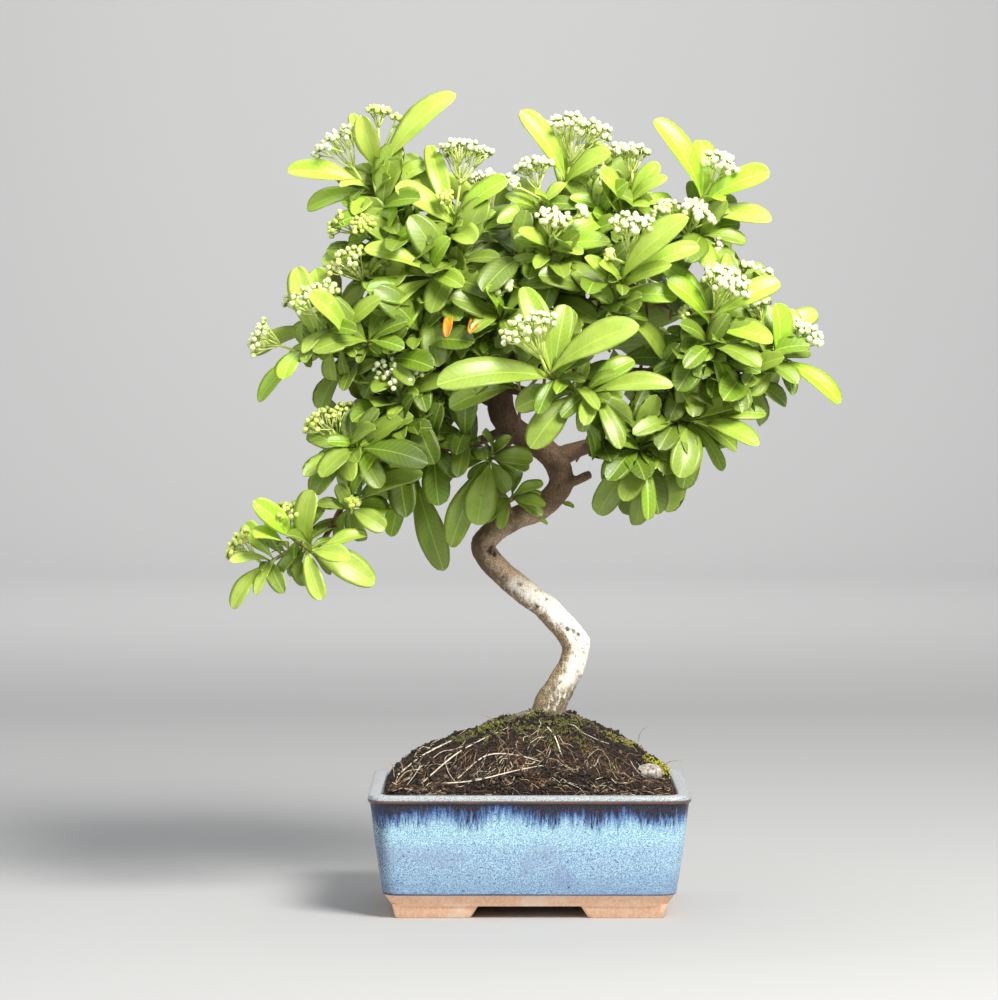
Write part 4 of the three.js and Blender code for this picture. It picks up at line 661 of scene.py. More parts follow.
def glaze_material():
    """Glaze by height: a dark drip band under the rim, mottled sky blue below, bare clay at the foot."""
    s = Shader("pot_glaze")
    x, _, z = s.split(s.coordinates.outputs["Object"])
    mottle = s.noise(1500, 5, 0.7)
    freckle = s.noise(3200, 2)
    clouds = s.noise(36, 3)
    wide = s.noise(34, 2, stretch=0.02)
    streak = s.noise(620, 3, 0.6, stretch=0.11)
    body = s.mix(s.remap(mottle, 0.38, 0.6), (76, 116, 160), (186, 218, 234))
    body = s.mix(s.remap(clouds, 0.48, 0.68, 0, 0.55), body, (136, 148, 182))
    body = s.mix(s.remap(z, 0.034, 0.014, 0, 0.4), body, (92, 122, 162))
    aqua = s.mix(s.remap(mottle, 0.38, 0.6), (98, 150, 184), (198, 234, 240))
    body = s.mix(s.remap(z, 0.036, 0.047, 0, 0.8), body, aqua)
    body = s.mix(s.remap(freckle, 0.58, 0.7, 0, 0.7), body, (48, 76, 122))
    drop = s.plus(z, s.swing(streak, 0.017))
    drop = s.plus(drop, s.swing(wide, 0.02))
    drop = s.plus(drop, s.swing(mottle, 0.009))
    cobalt = s.mix(s.remap(mottle, 0.38, 0.64), (26, 48, 112), (98, 138, 196))
    body = s.mix(s.remap(drop, 0.0505, 0.0605), body, cobalt)
    ink = s.mix(s.remap(mottle, 0.42, 0.68), (9, 9, 16), (70, 70, 90))
    body = s.mix(s.remap(drop, 0.0578, 0.0632), body, ink)
    hairline = s.remap(s.noise(1300, 2, stretch=0.07), 0.55, 0.62)
    running = s.times(s.remap(drop, 0.0505, 0.0555), s.remap(wide, 0.4, 0.55, 0.35, 0.9))
    body = s.mix(s.times(hairline, running), body, (14, 18, 38))
    dots = s.cells(250)
    sparse = s.noise(120, 1)
    dot = s.times(s.remap(dots, 0.09, 0.15, 1, 0), s.remap(sparse, 0.52, 0.6))
    body = s.mix(s.times(dot, 0.9), body, (26, 34, 54))
    # Darker left corner: partly glaze breaking dark at the edge, partly painted shade on the side away from
    # the light
    beside = s.remap(s.plus(x, s.times(clouds, 0.004)), -0.0745, -0.0815)
    corner = s.times(beside, s.remap(mottle, 0.7, 0.45))
    body = s.mix(s.times(corner, 0.8), body, (28, 38, 78))
    rim = s.mix(s.remap(mottle, 0.36, 0.58), (94, 106, 114), (188, 193, 194))
    body = s.mix(s.remap(z, 0.0668, 0.0678), body, rim)
    edge = s.plus(z, s.swing(clouds, 0.0012))
    edge_line = s.times(s.remap(edge, 0.0656, 0.0662), s.remap(edge, 0.0674, 0.0667))
    body = s.mix(s.times(edge_line, s.remap(wide, 0.35, 0.6, 0.5, 0.9)), body, (120, 84, 64))
    foot_line = s.remap(s.plus(z, s.times(clouds, 0.002)), 0.016, 0.0149)
    body = s.mix(s.times(foot_line, 0.8), body, (46, 50, 72))
    clay = s.mix(s.remap(s.noise(700, 4), 0.3, 0.7), (236, 184, 150), (248, 210, 178))
    clay = s.mix(s.remap(s.noise(60, 3), 0.5, 0.7, 0, 0.6), clay, (250, 228, 206))
    clay_share = s.remap(s.plus(z, s.times(mottle, 0.0006)), 0.01395, 0.01365)
    colour = s.mix(clay_share, body, clay)
    roughness = s.plus(s.times(clay_share, 0.62), 0.15)
    wave = s.noise(75, 2)
    normal = s.bump(wave, 0.25, 0.0016)
    normal = s.bump(mottle, 0.15, 0.0004, normal)
    return s.finish(colour, roughness, normal)


def soil_material():
    s = Shader("compost")
    fine = s.noise(800, 5, 0.7)
    lumps = s.noise(150, 3)
    colour = s.mix(s.remap(fine, 0.44, 0.7), (7, 5, 4), (62, 48, 37))
    colour = s.mix(s.remap(lumps, 0.56, 0.68, 0, 0.5), colour, (48, 32, 22))
    colour = s.mix(s.remap(fine, 0.64, 0.74, 0, 0.5), colour, (156, 132, 102))
    normal = s.bump(fine, 1, 0.0022)
    return s.finish(colour, 0.92, s.bump(lumps, 0.6, 0.003, normal))


def grained(name, noise, base, speck, roughness, bump):
    """A base colour with specks of another by a fine noise.

    The base is two colours that tint red leads between, or None where the tint holds the colour itself.
    The speck is the noise's low and high value, the most that it covers, and its colour.
    """
    s = Shader(name)
    grain = s.noise(*noise)
    colour = s.mix(s.tint()[0], *base) if base else s.tint_colour()
    low, high, most, dark = speck
    colour = s.mix(s.remap(grain, low, high, 0, most), colour, dark)
    return s.finish(colour, roughness, s.bump(grain, *bump))


def stone_material():
    s = Shader("pale_stone")
    fine = s.noise(420, 5, 0.7)
    colour = s.mix(s.remap(fine, 0.35, 0.65), (104, 96, 88), (196, 188, 178))
    return s.finish(colour, 0.8, s.bump(fine, 0.5, 0.0012))


def net_material():
    s = Shader("drainage_net")
    grain = s.noise(900, 3)
    return s.finish(s.mix(grain, (30, 32, 34), (58, 60, 62)), 0.6, s.bump(grain, 0.3, 0.0003))


LEAF_TOP = leaf_material("leaf_upper", False)
LEAF_UNDER = leaf_material("leaf_under", True)
GREEN_STEM = grained("green_stem", (700, 3), ((158, 176, 66), (112, 72, 44)), (0.4, 0.7, 0.4, (122, 96, 52)),
                     0.55, (0.3, 0.0004))
BARK = bark_material()
BUD = bud_material()
STALK = grained("bud_stalk", (900, 2), ((196, 214, 92), (228, 236, 150)), (0.45, 0.7, 0.35, (140, 158, 60)),
                0.5, (0.2, 0.0003))
GLAZE = glaze_material()
COMPOST = soil_material()
FIBRE = grained("fibres", (800, 2), None, (0.35, 0.7, 0.5, (70, 52, 38)), 0.8, (0.3, 0.0004))
STONE = stone_material()
NET = net_material()


# Curves and limbs
def spin(angle, axis):
    return Matrix.Rotation(angle, 3, axis)


def at_angle(centre, side, beside, radius, angle):
    """A point on the circle about centre that side and beside span."""
    return centre + side * (radius * math.cos(angle)) + beside * (radius * math.sin(angle))


def curve_point(points, u):
    """A point on the smooth curve through points: a centripetal Catmull-Rom one, u from 0 to 1."""
    place = u * (len(points) - 1)
    i = min(int(place), len(points) - 2)
    t = place - i
    b, c = points[i], points[i + 1]
    a = points[i - 1] if i > 0 else 2 * b - c
    d = points[i + 2] if i + 2 < len(points) else 2 * c - b
    step_ab, step_bc, step_cd = ((q - p).length ** 0.5 for p, q in ((a, b), (b, c), (c, d)))
    before = ((b - a) / step_ab - (c - a) / (step_ab + step_bc) + (c - b) / step_bc) * step_bc
    after = ((c - b) / step_bc - (d - b) / (step_bc + step_cd) + (d - c) / step_cd) * step_bc
    return (b + before * t + (-3 * b + 3 * c - 2 * before - after) * t ** 2
            + (2 * b - 2 * c + before + after) * t ** 3)


def limb(sheet, points, radii, sides, steps, tint=(0, 0, 0), slot=0, pointed=False):
    """A round tapered limb along the curve through points, with a radius at each."""
    centres = [curve_point(points, k / steps) for k in range(steps + 1)]
    across = Vector((0.31, 0.95, 0.05))
    rings = []
    for k, centre in enumerate(centres):
        along = (centres[min(k + 1, steps)] - centres[max(k - 1, 0)]).normalized()
        across = (across - along * across.dot(along)).normalized()
        beside = along.cross(across)
        place = k / steps * (len(points) - 1)
        i = min(int(place), len(points) - 2)
        radius = radii[i] + (radii[i + 1] - radii[i]) * (place - i)
        if pointed and k == steps:
            rings.append([sheet.point(centre, tint=tint)])
            continue
        ring = []
        for n in range(sides):
            angle = 2 * math.pi * n / sides
            ring.append(sheet.point(at_angle(centre, across, beside, radius, angle), tint=tint))
        rings.append(ring)
    sheet.loft(rings, lambda _: slot)
    return centres


# Soil mound
def soil_height(x, y):
    edge = min(1, math.hypot((x / CAVITY_HALF_X) ** 2, (y / CAVITY_HALF_Y) ** 2) ** 0.5)
    shoulder = 1 - edge ** 6
    from_trunk = math.hypot(x - TRUNK_FOOT[0], y - TRUNK_FOOT[1]) / SOIL_SWELL_RADIUS
    swell = SOIL_SWELL * math.exp(-(from_trunk ** 2))
    return POT_HEIGHT + 1 + (SOIL_SHOULDER - SOIL_LEFT_RISE * x) * shoulder + swell


def rounded_ring(half_x, half_y, radius, z, steps):
    """A rounded rectangle, counter-clockwise from above."""
    ring = []
    for sign_x, sign_y, start in ((1, -1, -90), (1, 1, 0), (-1, 1, 90), (-1, -1, 180)):
        for i in range(steps + 1):
            angle = math.radians(start + 90 * i / steps)
            x = sign_x * (half_x - radius) + radius * math.cos(angle)
            y = sign_y * (half_y - radius) + radius * math.sin(angle)
            ring.append(Vector((x, y, z)))
    return ring


def evenly(ring, count):
    """The ring again as count points at even distances."""
    closed = ring + [ring[0]]
    lengths = [0]
    for a, b in zip(closed, closed[1:]):
        lengths.append(lengths[-1] + (b - a).length)
    found = []
    i = 0
    for k in range(count):
        at = lengths[-1] * k / count
        while lengths[i + 1] < at:
            i += 1
        share = (at - lengths[i]) / max(1e-9, lengths[i + 1] - lengths[i])
        found.append(closed[i].lerp(closed[i + 1], share))
    return found


def surface_height(x, y):
    """The dressed mound's height, with its crumbs."""
    lumps = 2.8 * noise.noise(Vector((x * 0.09, y * 0.09, 3.1)))
    crumbs = 1.9 * noise.noise(Vector((x * 0.34, y * 0.34, 7.7)))
    grit = 0.7 * noise.noise(Vector((x * 0.9, y * 0.9, 1.7)))
    dip = 3 * math.exp(-((x - STONE_AT[0] + 2) ** 2 + (y - STONE_AT[1] + 3) ** 2) / 90)
    return soil_height(x * 0.94, y * 0.9) + lumps + crumbs + grit - dip


def rim_ring():
    """The foot of the mound's steep side, just inside the rim."""
    inset = RIM_TOP_WIDTH + GAP + 0.5
    ring = rounded_ring(RIM_HALF_X - inset, RIM_HALF_Y - inset, 8, POT_HEIGHT - SIDE_FOOT_DROP, CORNER_STEPS)
    return evenly(ring, SOIL_AROUND)


def mound_ring(corner, share):
    """A ring of places on the mound, at a share of the way out from the trunk's foot."""
    centre = Vector((*TRUNK_FOOT, 0))
    edge = rounded_ring(CAVITY_HALF_X + 6.3, CAVITY_HALF_Y + 6, corner, 0, CORNER_STEPS)
    places = [centre.lerp(p, share) for p in evenly(edge, SOIL_AROUND)]
    return [(q.x, q.y, surface_height(q.x, q.y)) for q in places]


def on_wall(column, height, out):
    """A point on the steep side, by its place round the pot and its share of the side's height."""
    k = int(column) % SOIL_AROUND
    p = WALL_FOOT[k].lerp(WALL_TOP[k], height)
    return p + Vector((p.x / 80, p.y / 57, 0)).normalized() * out


def make_soil():
    sheet = Sheet()
    low = rounded_ring(CAVITY_HALF_X - 0.5, CAVITY_HALF_Y - 0.5, 6, FLOOR_TOP + GAP, CORNER_STEPS)
    rings = [evenly(low, SOIL_AROUND), rim_ring()]
    for k in range(SOIL_RINGS):
        share = SOIL_REACH * (1 - k / SOIL_RINGS)
        rings.append(mound_ring(10 + 44 * (1 - share), share))
    rings.append([(*TRUNK_FOOT, surface_height(*TRUNK_FOOT))])
    rings = [[sheet.point(p) for p in ring] for ring in rings]
    sheet.loft(rings)
    piece = sheet.make("compost_mound", [COMPOST])
    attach(piece, "root")
    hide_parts("soil")


# Pot
def make_pot():
    rim_bottom = POT_HEIGHT - RIM_THICKNESS
    inner_x = RIM_HALF_X - RIM_TOP_WIDTH
    inner_y = RIM_HALF_Y - RIM_TOP_WIDTH
    profile = [
        (BAND_HALF_X, BAND_HALF_Y, 9, BAND_BOTTOM),
        (GLAZE_HALF_X - BAND_STEP - 0.3, GLAZE_HALF_Y - BAND_STEP - 0.3, 10, GLAZE_BOTTOM - 0.4),
        (GLAZE_HALF_X - 0.1, GLAZE_HALF_Y - 0.1, 10.4, GLAZE_BOTTOM),
        (GLAZE_HALF_X + 0.3, GLAZE_HALF_Y + 0.3, 10.6, GLAZE_BOTTOM + 1.5),
    ]
    for k in range(1, WALL_ROWS):
        t = k / WALL_ROWS
        belly = 0.5 * math.sin(math.pi * t)
        z = GLAZE_BOTTOM + 1.5 + (rim_bottom - 2.5 - GLAZE_BOTTOM) * t
        share = (z - GLAZE_BOTTOM) / (rim_bottom - GLAZE_BOTTOM)
        half_x = GLAZE_HALF_X + (RIM_HALF_X - 1.4 - GLAZE_HALF_X) * share + belly
        half_y = GLAZE_HALF_Y + (RIM_HALF_Y - 1.4 - GLAZE_HALF_Y) * share + belly
        profile.append((half_x, half_y, 10.5 + 2 * share, z))
    rim_rows = [
        (-1.3, 12.5, rim_bottom - 0.7), (-0.5, 13, rim_bottom - 0.1), (-0.05, 13.4, rim_bottom + 0.8),
        (0, 13.5, rim_bottom + 1.8), (-0.25, 13.3, POT_HEIGHT - 1.4), (-0.9, 12.8, POT_HEIGHT - 0.5),
        (-2, 12, POT_HEIGHT),
    ]
    profile += [(RIM_HALF_X + grow, RIM_HALF_Y + grow, radius, z) for grow, radius, z in rim_rows]
    inner_rows = [
        (2.2, 9, POT_HEIGHT), (0.9, 8.4, POT_HEIGHT - 0.4), (0.2, 8.1, POT_HEIGHT - 1.4),
        (0, 8, POT_HEIGHT - SIDE_FOOT_DROP),
    ]
    profile += [(inner_x + grow, inner_y + grow, radius, z) for grow, radius, z in inner_rows]
    profile.append((CAVITY_HALF_X, CAVITY_HALF_Y, 6, FLOOR_TOP))
    sheet = Sheet()
    rings = [
        [sheet.point(p) for p in rounded_ring(half_x, half_y, radius, z, POT_CORNER_STEPS)]
        for half_x, half_y, radius, z in profile
    ]
    sheet.loft(rings)
    pot = sheet.make("glazed_pot", [GLAZE])
    feet = Sheet()
    for sign_x in (1, -1):
        for sign_y in (1, -1):
            rows = []
            for grow, z, inset in ((0, 0, 0.5), (0, 0.5, 0), (FOOT_SLOPE, BAND_BOTTOM + 1, 0)):
                inner = (FOOT_INNER_X - grow * 1.4 + inset, FOOT_INNER_Y - grow + inset)
                outer = (FOOT_OUTER_X + grow * 0.5 - inset, FOOT_OUTER_Y + grow * 0.5 - inset)
                xs = sorted((sign_x * inner[0], sign_x * outer[0]))
                ys = sorted((sign_y * inner[1], sign_y * outer[1]))
                middle = Vector((sum(xs) / 2, sum(ys) / 2, 0))
                ring = rounded_ring((xs[1] - xs[0]) / 2, (ys[1] - ys[0]) / 2, 2.2, z, 4)
                rows.append([feet.point(p + middle) for p in ring])
            feet.loft(rows)
    foot_piece = feet.make("pot_feet", [GLAZE])
    holes = Sheet()
    for x in (-DRAIN_X, DRAIN_X):
        ends = [Vector((x, 0, BAND_BOTTOM - 2)), Vector((x, 0, FLOOR_TOP + 2))]
        limb(holes, ends, [DRAIN_RADIUS, DRAIN_RADIUS], 40, 1)
    cutter = holes.make("drain_cutter", [GLAZE])
    for tool, operation in ((foot_piece, "UNION"), (cutter, "DIFFERENCE")):
        cut = pot.modifiers.new(operation.lower(), "BOOLEAN")
        cut.object = tool
        cut.operation = operation
        cut.solver = "EXACT"
        applied(pot)
        bpy.data.objects.remove(tool)
    shade_by_angle(pot)
    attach(pot, "root")
    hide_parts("pot")


def shade_by_angle(piece):
    """Keeps sharp edges sharp under smooth shading."""
    for face in piece.data.polygons:
        face.use_smooth = True
    piece.data.set_sharp_from_angle(angle=math.radians(SHARP_ANGLE))


# Wood
TWIGS = [(TWIG_RADIUS, TWIG_TIP_RADIUS, spray.twig) for spray in SPRAYS if len(spray.twig) > 1]
# Marks on the trunk's front: x, z, radius, how far it stands out and how dark it is
KNOTS = [
    (33, 152, 5, 1.8, 0), (-22.6, 203, 5.5, 2.2, 0), (-21.5, 202.5, 2.8, -2.4, 1),
    (-19, 200, 1.8, -0.8, 1), (-27, 209, 4, 1, 0.3), (-12, 182, 5, 1, 0.2), (-9, 178, 1.3, -0.3, 0.9),
    (-14, 186, 1.3, -0.3, 0.9), (-5, 183, 1.2, -0.3, 0.8), (25, 157, 1.5, -1, 1), (22, 158, 1.3, -0.8, 1),
    (28, 156, 1.2, -0.6, 1), (18, 160, 1.2, -0.4, 0.8), (3.7, 179.5, 1, 0.2, 1), (10, 175, 1, 0.2, 1),
    (4.5, 170, 1.1, 0.2, 1), (27.5, 134, 0.9, 0.2, 1), (28, 129, 1, 0.2, 1), (17.5, 127.5, 0.9, 0.2, 1),
    (31, 132, 2, 0.6, 0), (17, 121, 5, 0.8, 0.15), (16, 250, 4, 0.8, 0.7), (4, 233, 3.4, 0.8, 0.4),
    (22, 241, 3, 0.8, 0.2), (-8, 213, 3, 0.7, 0.4),
]


def make_wood():
    noise.seed_set(MARK_SEED)
    sheet = Sheet()
    trunk_points = [Vector(p[:3]) for p in TRUNK]
    trunk_line = limb(sheet, trunk_points, [p[3] * TRUNK_SLIMNESS for p in TRUNK], 28, 150)
    for root in ROOTS:
        start = Vector((*TRUNK_FOOT, soil_height(*TRUNK_FOOT) - 4))
        points = [start] + [Vector((x, y, soil_height(x, y) + lift - 5.4)) for x, y, lift, _ in root]
        limb(sheet, points, [6] + [p[3] for p in root], 14, 24)
    for first, last, line in BRANCHES + TWIGS:
        points = [Vector(p) for p in line]
        radii = [first + (last - first) * i / (len(points) - 1) for i in range(len(points))]
        limb(sheet, points, radii, 14, 12 * (len(points) - 1))
    piece = sheet.make("bark_and_branches", [BARK])
    remesh = piece.modifiers.new("remesh", "REMESH")
    remesh.mode = "VOXEL"
    remesh.voxel_size = BARK_VOXEL * MM
    applied(piece)
    soften = piece.modifiers.new("soften", "SMOOTH")
    soften.factor = 0.5
    soften.iterations = 3
    applied(piece)
    mesh = piece.data
    tree = tree_of(trunk_line)
    count = len(mesh.vertices)
    points = np.zeros(count * 3, np.float32)
    mesh.vertices.foreach_get("co", points)
    points = points.reshape(-1, 3) / MM
    normals = np.zeros(count * 3, np.float32)
    mesh.vertex_normals.foreach_get("vector", normals)
    normals = normals.reshape(-1, 3)
    knots = []
    for x, z, radius, height, darkness in KNOTS:
        near = points[(abs(points[:, 0] - x) < MARK_REACH) & (abs(points[:, 2] - z) < MARK_REACH)]
        y = float(near[:, 1].min()) if len(near) else 0
        knots.append((Vector((x, y, z)), radius, height, darkness))
    tints = np.zeros((count, 4), np.float32)
    moves = np.zeros(count, np.float32)
    for i in range(count):
        p = Vector(points[i])
        _, index, distance = tree.find(p)
        trunk = 1 - smoothstep(9.5, 13, distance) if index < BARE_TRUNK_PART else 0.3
        lump = noise.noise(p * 0.16) * 0.7 + noise.noise(p * 0.5) * 0.3
        ridge = abs(noise.noise(Vector((p.x * 0.9, p.y * 0.9, p.z * 0.25))))
        move = trunk * (0.6 * lump - 0.35 * ridge) + (1 - trunk) * 0.14 * lump
        scar = 0
        ragged = p + 1.6 * noise.noise_vector(p * 0.5)
        for place, radius, height, darkness in knots:
            share = math.exp(-((ragged - place).length / radius) ** 2)
            move += height * share
            scar = max(scar, darkness * min(1, share * 1.6))
        moves[i] = move
        tints[i] = (0, smoothstep(30, 70, distance) * (1 - trunk), scar, 1)
    points += normals * moves[:, None]
    mesh.vertices.foreach_set("co", (points * MM).ravel())
    tint = mesh.color_attributes.new("tint", "FLOAT_COLOR", "POINT")
    tint.data.foreach_set("color", tints.ravel())
    mesh.materials.clear()
    mesh.materials.append(BARK)
    for face in mesh.polygons:
        face.use_smooth = True
    mesh.update()
    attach(piece, "root")
    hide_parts("tree_wood")


# Leaves
OUTLINE_T = [0, 0.05, 0.12, 0.22, 0.34, 0.48, 0.6, 0.72, 0.83, 0.91, 0.965, 1]
OUTLINE_W = [0.07, 0.08, 0.16, 0.38, 0.65, 0.87, 0.98, 1.0, 0.94, 0.78, 0.54, 0]
FINE_ROWS = [0, 0.05, 0.1, 0.17, 0.25, 0.32, 0.38, 0.44, 0.5, 0.55, 0.6, 0.65, 0.7, 0.745, 0.79, 0.83, 0.87,
             0.905, 0.94, 0.97, 0.99]
PLAIN_ROWS = [0, 0.12, 0.28, 0.44, 0.6, 0.75, 0.87, 0.95, 0.99]
ACROSS_TOP = [-1, -0.68, -0.34, 0, 0.34, 0.68, 1]
ACROSS_UNDER = [0.6, 0, -0.6]
TOOTH = 0.003


def leaf(sheet, base, tip, width, is_back, age_and_shade, draw, rows=FINE_ROWS):
    """One leaf blade as a thin closed form: upper side in slot 0, lower side in slot 1."""
    chord = tip - base
    reach = chord.length
    facing = Vector((0.003 * base.x, 0.8 if is_back else -0.8, 0.58))
    normal = (facing - chord * (facing.dot(chord) / reach ** 2)).normalized()
    control = base.lerp(tip, 0.5) + normal * (2 * LEAF_ARCH * reach)
    fold = 0.08 + 0.26 * ((draw * 7.3) % 1)
    ripple = 0.2 + 0.5 * ((draw * 3.7) % 1)
    taper = 0.22 * ((draw * 5.1) % 1) ** 2
    phase = draw * 40
    rows_of_points = []
    for k, t in enumerate(rows):
        p = base * (1 - t) ** 2 + control * (2 * t * (1 - t)) + tip * t ** 2
        along = ((control - base) * (1 - t) + (tip - control) * t).normalized()
        side = normal.cross(along).normalized()
        up = along.cross(side)
        half = float(np.interp(t, OUTLINE_T, OUTLINE_W)) * width / 2 * (1 - taper * smoothstep(0.6, 1, t))
        if t > 0.28 and rows is FINE_ROWS:
            half *= 1 + (TOOTH if k % 2 else -TOOTH)
        half = max(0.42, half)
        spread = min(1, half / 3)
        ring = []
        for layer, shares in enumerate((ACROSS_TOP, ACROSS_UNDER)):
            for share in shares:
                lift = fold * half * share ** 2
                lift += ripple * spread * share ** 2 * math.sin(phase + t * 10 + share)
                lift -= 0.35 * spread * math.exp(-(share * half / 0.7) ** 2)
                thick = 0.3 + 0.55 * math.exp(-(share * half / 0.8) ** 2)
                q = p + side * (share * half) + up * (lift + 0.25 - (thick if layer else 0))
                ring.append((q, (share * half * 0.01, t * reach * 0.01), abs(share)))
        rows_of_points.append((t, ring))
    rows_of_points.append((1, [(tip, (0, reach * 0.01), 0)]))
    found = [q for _, ring in rows_of_points for q, _, _ in ring]
    low = [min(0, min(q[a] for q in found) - BOX_LOW[a]) for a in range(3)]
    high = [max(0, max(q[a] for q in found) - BOX_HIGH[a]) for a in range(3)]
    back = Vector([-a - b for a, b in zip(low, high)])
    rings = []
    for t, ring in rows_of_points:
        shift = back * smoothstep(0, 0.4, t)
        rings.append([sheet.point(q + shift, place, (age_and_shade, draw, edge)) for q, place, edge in ring])
    upper = len(ACROSS_TOP) - 1
    sheet.loft(rings, lambda i: 0 if i < upper else 1)


def turned(base, tip, turn):
    around, rise, scale = turn
    chord = tip - base
    flat = Vector((chord.y, -chord.x, 0))
    if flat.length < 1e-6:
        flat = Vector((1, 0, 0))
    chord = spin(math.radians(rise), flat.normalized()) @ chord
    chord = spin(math.radians(around), UP) @ chord
    return base + chord * scale


def stems_of(spray):
    end = Vector(spray.twig[-1])
    stems = []
    for fork, *tip in spray.stems:
        to = Vector(tip)
        start = stems[0]["from"].lerp(stems[0]["to"], fork) if stems else end + (to - end).normalized() * GAP
        stems.append({"from": start, "to": to, "taken": []})
    return stems


def free_place(stem, wanted):
    length = (stem["to"] - stem["from"]).length
    high = 1 - TIP_CLEAR / length
    low = min(START_CLEAR / length, high)
    best = None
    for i in range(PLACES + 1):
        t = low + (high - low) * i / PLACES
        nearest = min([1] + [abs(other - t) for other in stem["taken"]]) * length
        free = min(nearest, LEAF_SPACING)
        move = abs(t - wanted)
        if best is None or free > best[1] + 1e-6 or (free > best[1] - 1e-6 and move < best[2]):
            best = (t, free, move)
    stem["taken"].append(best[0])
    return best[0]


def given_leaves(spray, stems):
    found = []
    for number, t, x, y, z, width in spray.leaves:
        stem = stems[number]
        base = stem["from"].lerp(stem["to"], free_place(stem, t))
        found.append((base, Vector((x, y, z)), width))
    return found


def fill_leaves(spray, stems, number):
    found = []
    for k in range(spray.fill):
        stem = stems[k % len(stems)]
        t = free_place(stem, 0.12 + 0.86 * (k + 0.5) / spray.fill)
        along = (stem["to"] - stem["from"]).normalized()
        first = UP - along * along.z
        if first.length < 0.2:
            first = Vector((1, 0, 0)) - along * along.x
        first = spin(GOLDEN_ANGLE * (k + number * 0.37), along) @ first.normalized()
        direction = (first + along * 0.45).normalized()
        reach = FILL_REACH + FILL_SWING * math.sin(k * 2.4 + number)
        base = stem["from"].lerp(stem["to"], t)
        found.append((base, base + direction * reach, reach * FILL_WIDTH))
    return found


def leaf_age_and_shade(tip, draw):
    """How old a leaf looks: young out at the top, and young in front as painted light; old inside and low
    down, partly as painted shade.
    """
    out = math.hypot(tip.x / 175, (tip.z - 320) / 140)
    front = smoothstep(40, -90, tip.y)
    low = smoothstep(285, 235, tip.z) * smoothstep(-95, -60, tip.x)
    young = 0.55 * smoothstep(0.3, 1.05, out) + 0.34 * front + 0.25 * smoothstep(260, 400, tip.z)
    return min(1, max(0, 1.0 - young + 0.3 * low + (draw - 0.5) * 0.6))


def cad_points(name):
    return [vertex.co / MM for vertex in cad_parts[name].data.vertices]


def make_spray(number, spray):
    name = f"leafy_spray_{number + 1:02d}"
    tree = tree_of(cad_points(name))
    rng = random.Random(SPRAY_SEED + number)
    stems = stems_of(spray)
    is_back = stems[0]["to"].y > BACK_FROM_Y
    sheet = Sheet()
    for stem in stems:
        bend = stem["from"].lerp(stem["to"], 0.5) + Vector((0, 0, -0.3))
        radii = [STEM_RADIUS * 0.72, STEM_RADIUS * 0.7, STEM_TIP_RADIUS * 0.66]
        limb(sheet, [stem["from"], bend, stem["to"]], radii, 9, 8, tint=(0.5, 0, 0), slot=2)
    for leaves in (given_leaves(spray, stems), fill_leaves(spray, stems, number)):
        for base, tip, width in leaves:
            draw = rng.random()
            for turn in TURNS:
                end = turned(base, tip, turn)
                if tree.find(end)[2] < PLACE_TOLERANCE:
                    leaf(sheet, base, end, width * turn[2], is_back, leaf_age_and_shade(end, draw), draw)
                    break
    inner_leaves(sheet, stems, is_back, rng)
    if spray.fused:
        for head in spray.heads:
            bud_head(sheet, head, stems, rng, 3, -1)
    piece = sheet.make(f"spray_{number + 1:02d}", [LEAF_TOP, LEAF_UNDER, GREEN_STEM, BUD, STALK])
    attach(piece, "root")
    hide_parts(name)
    return stems


def inner_leaves(sheet, stems, is_back, rng):
    """Small older, darker leaves at the foot of each stem, under the outer ones; their darkness is partly
    painted shade.
    """
    for stem in stems:
        along = (stem["to"] - stem["from"]).normalized()
        first = along.orthogonal().normalized()
        for k in range(INNER_LEAVES):
            side = spin(GOLDEN_ANGLE * k + rng.random(), along) @ first
            direction = (side + along * rng.uniform(-0.3, 0.5)).normalized()
            reach = rng.uniform(*INNER_REACH)
            base = stem["from"].lerp(stem["to"], rng.uniform(0.05, 0.9))
            draw = rng.random()
            # Set old and dark green, partly as painted shade inside the crown
            age_and_shade = 0.6 + 0.4 * draw
            leaf(sheet, base, base + direction * reach, reach * INNER_WIDTH, is_back, age_and_shade, draw, PLAIN_ROWS)


# Spurs: their spacing, length, leaves, and the parts of the trunk that they leave in view
SPUR_SPACING = 6.5
SPUR_LENGTH = (6, 24)
SPUR_START = 0.2
SPUR_LEAF_REACH = (23, 42)
SPUR_LEAF_WIDTH = (0.36, 0.48)
SHORTEST_LEAF = 13
BACK_SPUR_Y = 15
SPUR_LEAVES = 7
TRUNK_VIEW_X = 24
TRUNK_VIEW_Z = 296
TRUNK_VIEW_MIDDLE = 2
CROWN_REACH = 15
LOWEST_SPUR = 250
SPUR_GROUPS = 4
# Single leaves at the trunk and two faded ones: foot, tip and width
TRUNK_SHOOTS = [((17, -2, 229), (25.5, -5, 226.5), 3.4), ((0, -2, 222), (10.5, -6, 217), 3.2)]
FADED_LEAVES = [((-43, -36, 337), (-46, -55, 323), 5.5), ((-27, -34, 336), (-33, -53, 325), 5.5)]


def hides_trunk(p):
    """True where a leaf would stand before the bare part of the trunk."""
    return abs(p.x - TRUNK_VIEW_MIDDLE) < TRUNK_VIEW_X and p.z < TRUNK_VIEW_Z and p.y < 6


